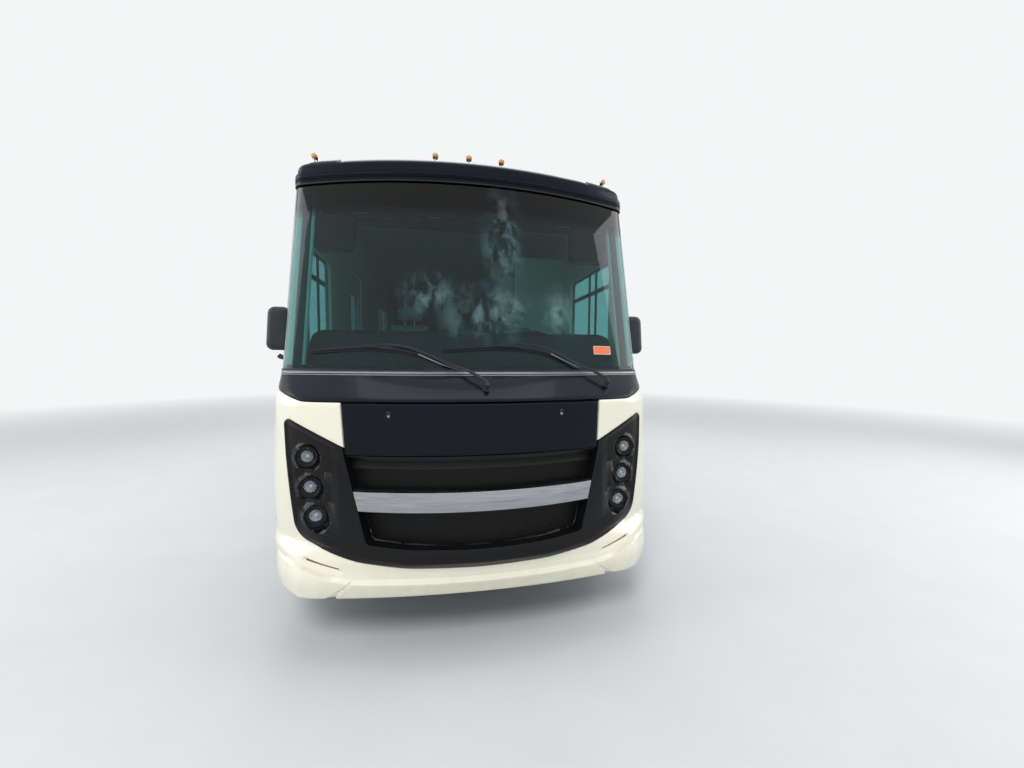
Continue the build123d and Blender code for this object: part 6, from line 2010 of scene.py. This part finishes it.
def makeBayDetails():
    # luggage doors: bright edge moulding, two slam latches each, a stainless hinge along the top edge
    for body, side in (("bay_door_left_front", 1), ("bay_door_left_rear", 1), ("bay_door_right_front", -1),
                       ("bay_door_right_rear", -1)):
        low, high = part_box("baggage" + body[3:])
        start, end = low.y - noseY, high.y - noseY
        place, title = onSide(side), body.replace("_", ".")
        trim = ringFrame(rectangle(start + 0.003, low.z + 0.003, end - 0.003, high.z - 0.004, 0.02), place, [
            (0.0, -0.001), (0.0, 0.003), (0.003, 0.0045), (0.010, 0.0045), (0.013, 0.001), (0.013, -0.001)])
        joinedObject(title + ".trim", [trim], "trim", body)
        cups, paddles = [], []
        for share in (0.2, 0.8):
            y = start + (end - start) * share
            z = low.z + 0.105
            cups.append(plate(rectangle(y - 0.060, z - 0.036, y + 0.060, z + 0.036, 0.016, step=0.03), place, [
                (0, -0.001), (0, 0.004), (0.003, 0.007), (0.008, 0.007), (0.012, 0.002), (0.024, 0.002)]))
            paddles.append(plate(rectangle(y - 0.042, z - 0.020, y + 0.026, z + 0.020, 0.010, step=0.03), place, [
                (0, 0.001), (0, 0.007), (0.004, 0.011), (0.014, 0.012)]))
            paddles.append(latheMesh([(0.0005, 0.0), (0.007, 0.0), (0.007, 0.010), (0.005, 0.0115), (0.0005, 0.011)],
                                     place(y + 0.038, z, 0.0), (side, 0, 0), 20))
        joinedObject(title + ".cups", cups, "absBlack", body)
        joinedObject(title + ".paddles", paddles, "chrome", body)
        hinge = ringFrame(rectangle(start + 0.02, high.z - 0.001, end - 0.02, high.z + 0.020, 0.004), place, [
            (0.0, -0.001), (0.0, 0.002), (0.004, 0.003), (0.010, 0.003), (0.0102, -0.001)])
        joinedObject(title + ".hinge", [hinge], "trim", "coach")


def makeRoomDetails():
    # slide-out: bulb seal round its flange, a topper cover along its top with end caps
    place = onSide(1, 1.312)
    seal = ringFrame(rectangle(2.478, 1.093, 5.322, 2.982, 0.010), place, [
        (0.0, -0.004), (0.0, 0.004), (0.004, 0.008), (0.012, 0.009), (0.020, 0.006), (0.022, -0.001)])
    joinedObject("roomSeal", [seal], "rubberSeal", "slideout")
    awningCover = plate(rectangle(2.53, 2.905, 5.27, 2.975, 0.02), place, [
        (0, -0.001), (0, 0.030), (0.006, 0.044), (0.020, 0.050)])
    joinedObject("roomTopper", [awningCover], "shroud", "slideout")
    caps = [plate(rectangle(y - 0.018, 2.900, y + 0.018, 2.980, 0.008), place, [(0, 0), (0, 0.050), (0.004, 0.054)])
            for y in (2.535, 5.265)]
    joinedObject("roomTopperEnds", caps, "absBlack", "slideout")


def makeAwning():
    # awning: rolled fabric in its half case, end castings, and the folded arms against the side
    y0, y1, x, z = noseY + 2.300, noseY + 7.300, -1.352, 3.080
    turns = np.radians(np.linspace(100, 330, 26))
    loop = [(x + r * math.cos(a), z + r * math.sin(a)) for r, way in ((0.055, 1), (0.051, -1)) for a in turns[::way]]
    rows = [[Vector((px, y, pz)) for px, pz in loop] for y in np.linspace(y0 + 0.03, y1 - 0.03, 40)]
    points, faces = sheetMesh(rows, closed=True)
    count = len(loop)
    for start in (0, 39 * count):
        faces += [(start + k, start + k + 1, start + count - 2 - k, start + count - 1 - k) for k in range(25)]
    rail = plate(rectangle(2.335, 3.052, 7.265, 3.108, 0.010), onSide(-1), [(0, 0), (0, 0.018), (0.004, 0.022)])
    cover = joinedObject("awningCase", [(points, faces), rail], "shroud", "coach")
    roll = [(0.0005, 0.030)] + [(0.046 + 0.0012 * math.sin(k * 2.4), 0.032 + k * 0.0353) for k in range(140)] + [
        (0.0005, 4.970)]
    joinedObject("awningRoll", [latheMesh(roll, (x, y0, z), (0, 1, 0), 28)], "awningCloth", "coach")
    castings, arms = [], []
    for y, way in ((y0, 1), (y1, -1)):
        castings.append(latheMesh([(0.0005, 0.0), (0.046, 0.0), (0.0535, 0.006), (0.0545, 0.034), (0.050, 0.038),
                                   (0.0005, 0.038)], (x, y, z), (0, way, 0), 32))
        near = 0.030 * way
        u = y - noseY + near
        arms.append(plate(rectangle(u - 0.024, 1.42, u + 0.024, 3.06, 0.006), onSide(-1), [
            (0, 0.0), (0, 0.014), (0.003, 0.018), (0.010, 0.018), (0.012, 0.013)]))
        arms.append(plate(rectangle(u - 0.015, 1.50, u + 0.015, 3.02, 0.005), onSide(-1), [
            (0, 0.012), (0, 0.028), (0.003, 0.031)]))
        castings.append(roundedBlock((-1.325, y + near - 0.034, 1.36), (-1.290, y + near + 0.034, 1.46), 0.008))
        castings.append(roundedBlock((-1.345, y + near - 0.030, 2.985), (-1.290, y + near + 0.030, 3.052), 0.008))
    joinedObject("awningEnds", castings, "absBlack", "coach")
    joinedObject("awningArms", arms, "trim", "coach")
    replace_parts(cover, "awning")


def makeSideMouldings():
    # corner trim where the front and rear caps meet the sides, and its screws
    strips, places, ways = [], [], []
    for side in (-1, 1):
        for y, low, high in ((0.716, 0.50, 1.50), (9.085, 0.45, 3.18)):
            strips.append(plate(rectangle(y - 0.011, low, y + 0.011, high, 0.004), onSide(side), [
                (0, -0.001), (0, 0.0015), (0.003, 0.0035), (0.008, 0.0035)]))
            for z in np.arange(low + 0.05, high, 0.16):
                places.append(onSide(side)(y, z, 0.003))
                ways.append((side, 0, 0))
        strips.append(plate(rectangle(1.42, 3.183, 9.36, 3.203, 0.004), onSide(side), [
            (0, -0.002), (0, 0.010), (0.004, 0.013)]))
    joinedObject("cornerTrims", strips, "trim", "coach")
    screw = latheMesh([(0.0005, -0.001), (0.0040, -0.001), (0.0040, 0.0005), (0.0030, 0.0016), (0.0005, 0.0019)],
                      (0, 0, 0), (0, 0.0001, 1), 10)
    copiesOf("trimScrews", screw, places, ways, (0, 0, 1), "chrome", "coach")


makeWindowFrames()
makeDoorDetails()
makeBayDetails()
makeRoomDetails()
makeAwning()
makeSideMouldings()
print("sides dressed")

# Back and roof: tail lamps, ladder, roof units
tail = 9.370
ladderShape = {
    "x": (-0.950, -0.590), "y": tail + 0.073, "low": 0.905, "high": 3.240, "rung": 0.290, "first": 0.991, "rungs": 8,
}
roofUnits = {"starts": (3.300, 7.300), "base": 3.340}


def onBack(centre=0.0, side=1):
    # place of a point by distance from a centre, height, and reach out of the rear wall
    return lambda u, v, out: Vector((centre + side * u, noseY + tail + out, v))


def makeTailLamps():
    housings, reds, ambers, clears = [], [], [], []
    for side in (-1, 1):
        place = onBack(side * 1.080, side)
        housings.append(plate(rectangle(-0.050, 0.900, 0.050, 1.300, 0.030), place, [
            (0, -0.002), (0, 0.010), (0.003, 0.014), (0.006, 0.014), (0.007, 0.008)]))
        for low, high, group, rise in (
                (1.155, 1.288, reds, 0.029), (1.030, 1.150, ambers, 0.027), (0.912, 1.025, clears, 0.026)):
            group.append(plate(rectangle(-0.041, low, 0.041, high, 0.018, step=0.02), place, [
                (0, 0.004), (0, 0.016), (0.003, 0.021), (0.009, 0.0245), (0.020, rise - 0.002), (0.032, rise)]))
    red = joinedObject("tailLampRed", reds, "red", "coach")
    joinedObject("tailLampHousings", housings, "chrome", "coach")
    joinedObject("tailLampAmber", ambers, "amber", "coach")
    joinedObject("tailLampReverse", clears, "lens", "coach")
    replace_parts(red, "tail_lamps")


def makeLadder():
    rails, feet = [], []
    y = noseY + ladderShape["y"]
    for x in ladderShape["x"]:
        line = smoothLine([(x, y - 0.020, ladderShape["low"]), (x, y, ladderShape["low"] + 0.045), (x, y, 2.0),
                           (x, y, ladderShape["high"] - 0.08), (x, y - 0.018, ladderShape["high"])], 60)
        rails.append(sweptRod(line, (0.0125, 0.0125), (0, 1, 0), 16))
        for z in (1.000, 2.000, 3.150):
            feet.append(sweptRod([(x, y - 0.074, z), (x, y - 0.066, z), (x, y - 0.062, z), (x, y - 0.010, z)],
                                 [(0.026, 0.026), (0.024, 0.024), (0.011, 0.011), (0.011, 0.011)], (0, 0, 1), 16))
    made = joinedObject("ladderRails", rails + feet, "aluminium", "coach")
    width = ladderShape["x"][1] - ladderShape["x"][0]
    rung = sweptRod([(0, 0, 0), (0, 0, 0.001), (0, 0, width - 0.001), (0, 0, width)], (0.0125, 0.0105), (0, 1, 0), 14)
    places = [(ladderShape["x"][0], y, ladderShape["first"] + ladderShape["rung"] * k)
              for k in range(ladderShape["rungs"])]
    copiesOf("ladderRungs", rung, places, (1, 0, 0), (0, 0, 1), "aluminium", "coach")
    grip = sweptRod([(0, 0, 0.04), (0, 0, 0.041), (0, 0, width - 0.041), (0, 0, width - 0.04)], (0.0145, 0.0125),
                    (0, 1, 0), 14)
    copiesOf("ladderGrips", grip, places, (1, 0, 0), (0, 0, 1), "rubberSeal", "coach")
    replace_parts(made, "ladder")


def makeRoofUnits():
    shrouds, grilles, gaskets = [], [], []
    bars, barWays = [], []
    base = roofUnits["base"]
    for start in roofUnits["starts"]:
        middle = noseY + start + 0.5

        def place(u, v, out):
            return Vector((u, middle + v, base + out))

        outline = rectangle(-0.345, -0.495, 0.345, 0.495, 0.085, step=0.04)
        gaskets.append(plate(outline, place, [(0, -0.002), (0, 0.014), (0.004, 0.018), (0.020, 0.018)]))
        shrouds.append(plate(outline, place, [
            (0.008, 0.012), (0.008, 0.060), (0.012, 0.075), (0.022, 0.140), (0.032, 0.205), (0.045, 0.245),
            (0.066, 0.272), (0.095, 0.284), (0.150, 0.288), (0.230, 0.289)]))
        for side in (-1, 1):
            def onFlank(u, v, out):
                return Vector((side * (0.338 - (v - 0.06) * 0.155 + out), middle + u, base + v))

            grilles.append(plate(rectangle(-0.200, 0.080, 0.200, 0.190, 0.015), onFlank, [
                (0, -0.006), (0, 0.001), (0.004, 0.003)]))
            for v in np.arange(0.092, 0.186, 0.013):
                bars.append(onFlank(0.0, v, 0.004))
                barWays.append((side, 0, 0))
    made = joinedObject("roofShrouds", shrouds, "shroud", "coach")
    joinedObject("roofGaskets", gaskets, "rubberSeal", "coach")
    joinedObject("roofLouvrePanels", grilles, "absBlack", "coach")
    louvre = roundedBlock((-0.190, -0.0035, -0.002), (0.190, 0.0035, 0.009), 0.0016, 2)
    copiesOf("roofLouvres", louvre, bars, barWays, (0, 1, 0), "shroud", "coach")
    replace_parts(made, "roof_units")


def makeRearDetails():
    # framed blank plate with its screws over the bumper, and two reflectors
    place = onBack()
    frameRing = ringFrame(rectangle(-0.190, 0.690, 0.190, 0.870, 0.020), place, [
        (0, -0.001), (0, 0.006), (0.006, 0.010), (0.014, 0.010), (0.018, 0.002)])
    joinedObject("plateFrame", [frameRing], "absBlack", "coach")
    blank = plate(rectangle(-0.160, 0.712, 0.160, 0.852, 0.012), place, [(0, 0), (0, 0.002), (0.001, 0.003)])
    joinedObject("plateBlank", [blank], "shroud", "coach")
    dot = [(0.0005, 0.001), (0.008, 0.001), (0.008, 0.004), (0.005, 0.006), (0.0005, 0.006)]
    dots = [latheMesh(dot, place(x, 0.835, 0.0), (0, 1, 0), 16) for x in (-0.12, 0.12)]
    joinedObject("plateScrews", dots, "chrome", "coach")
    glows = [plate(rectangle(side * 0.92 - 0.045, 0.660, side * 0.92 + 0.045, 0.700, 0.010), place,
                   [(0, 0), (0, 0.005), (0.004, 0.009), (0.010, 0.010)]) for side in (-1, 1)]
    joinedObject("rearReflectors", glows, "red", "coach")


makeTailLamps()
makeLadder()
makeRoofUnits()
makeRearDetails()
print("back and roof dressed")

# Wheels: treaded tyres over the forged rims, lug nuts, hubs
tyreShape = {"radius": 0.420, "half": 0.124, "bead": 0.250, "blocks": 76, "groove": 0.009, "nutRing": 0.1125}
wheelRows = [
    # body, tyre centres from the inner one out, axle behind the nose, node replaced
    ("wheel_front_left", (1.010,), 1.2, "tyre_front_left"), ("wheel_front_right", (-1.010,), 1.2, "tyre_front_right"),
    ("wheels_rear_left", (0.800, 1.080), 6.483, "tyres_rear_left"),
    ("wheels_rear_right", (-0.800, -1.080), 6.483, "tyres_rear_right"),
]


def tyreProfile():
    # radius and reach of the tyre's section, from one bead over the tread to the other
    r, half, bead, groove = tyreShape["radius"], tyreShape["half"], tyreShape["bead"], tyreShape["groove"]
    side = [(bead + 0.001, 0.092), (bead + 0.010, 0.100), (0.285, 0.108), (0.320, 0.120), (0.345, half),
            (0.352, half - 0.0015), (0.358, half), (0.385, 0.117), (0.400, 0.108), (0.409, 0.101), (0.4125, 0.096)]
    tread = []
    for centre in (0.075, 0.0375, 0.0, -0.0375, -0.075):
        tread += [(r - 0.0035 * (centre / 0.075) ** 2, centre + 0.0065), (r - groove, centre + 0.0045),
                  (r - groove, centre - 0.0045), (r - 0.0035 * (centre / 0.075) ** 2, centre - 0.0065)]
    under = [(bead + 0.001, -0.070), (bead + 0.001, 0.070)]
    return side + tread + [(radius, -reach) for radius, reach in side[::-1]] + under + [side[0]]


def makeWheels():
    profile = tyreProfile()
    r = tyreShape["radius"]
    block = roundedBlock((-0.0075, -0.0115, -0.012), (0.0075, 0.0115, 0.0), 0.0014, 1)
    nut = latheMesh([(0.0005, 0.0), (0.0165, 0.0), (0.0165, 0.016), (0.0140, 0.020), (0.0125, 0.034), (0.0095, 0.037),
                     (0.0005, 0.038)], (0, 0, 0), (0, 0.0001, 1), 6)
    for body, centres, axle, node in wheelRows:
        y, z = noseY + axle, r
        way = 1 if centres[0] > 0 else -1
        tyres, places, facings = [], [], []
        for x in centres:
            tyres.append(latheMesh(profile, (x, y, z), (1, 0, 0), 96))
            for k in range(tyreShape["blocks"]):
                angle = 2 * math.pi * (k + 0.5) / tyreShape["blocks"]
                out = Vector((0, math.cos(angle), math.sin(angle)))
                for side in (-1, 1):
                    places.append(Vector((x + side * 0.1015, y, z)) + out * (r - 0.0045))
                    facings.append(out + Vector((side * 0.35, 0, 0)))
        tyre = joinedObject(node + ".carcass", tyres, "tyre", body)
        copiesOf(node + ".shoulders", block, places, facings, (1, 0, 0), "tyre", body)
        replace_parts(tyre, node)
        # the disc stands proud of a single tyre's middle and lies deep in a twin's
        face = centres[-1] + way * (0.074 if len(centres) == 1 else -0.066)
        hub = [(0.0005, 0.075), (0.030, 0.074), (0.050, 0.069), (0.060, 0.058), (0.066, 0.040), (0.070, 0.012),
               (0.078, 0.008), (0.080, -0.002), (0.0005, -0.002)]
        joinedObject(node + ".hub", [latheMesh(hub, (face, y, z), (way, 0, 0), 48)], "chrome", body)
        turns, ring = [2 * math.pi * (k + 0.5) / 8 for k in range(8)], tyreShape["nutRing"]
        bolts = [Vector((face - way * 0.001, y + ring * math.cos(a), z + ring * math.sin(a))) for a in turns]
        copiesOf(node + ".nuts", nut, bolts, (way, 0, 0), (0, 0, 1), "chrome", body)


makeWheels()
print("wheels dressed")
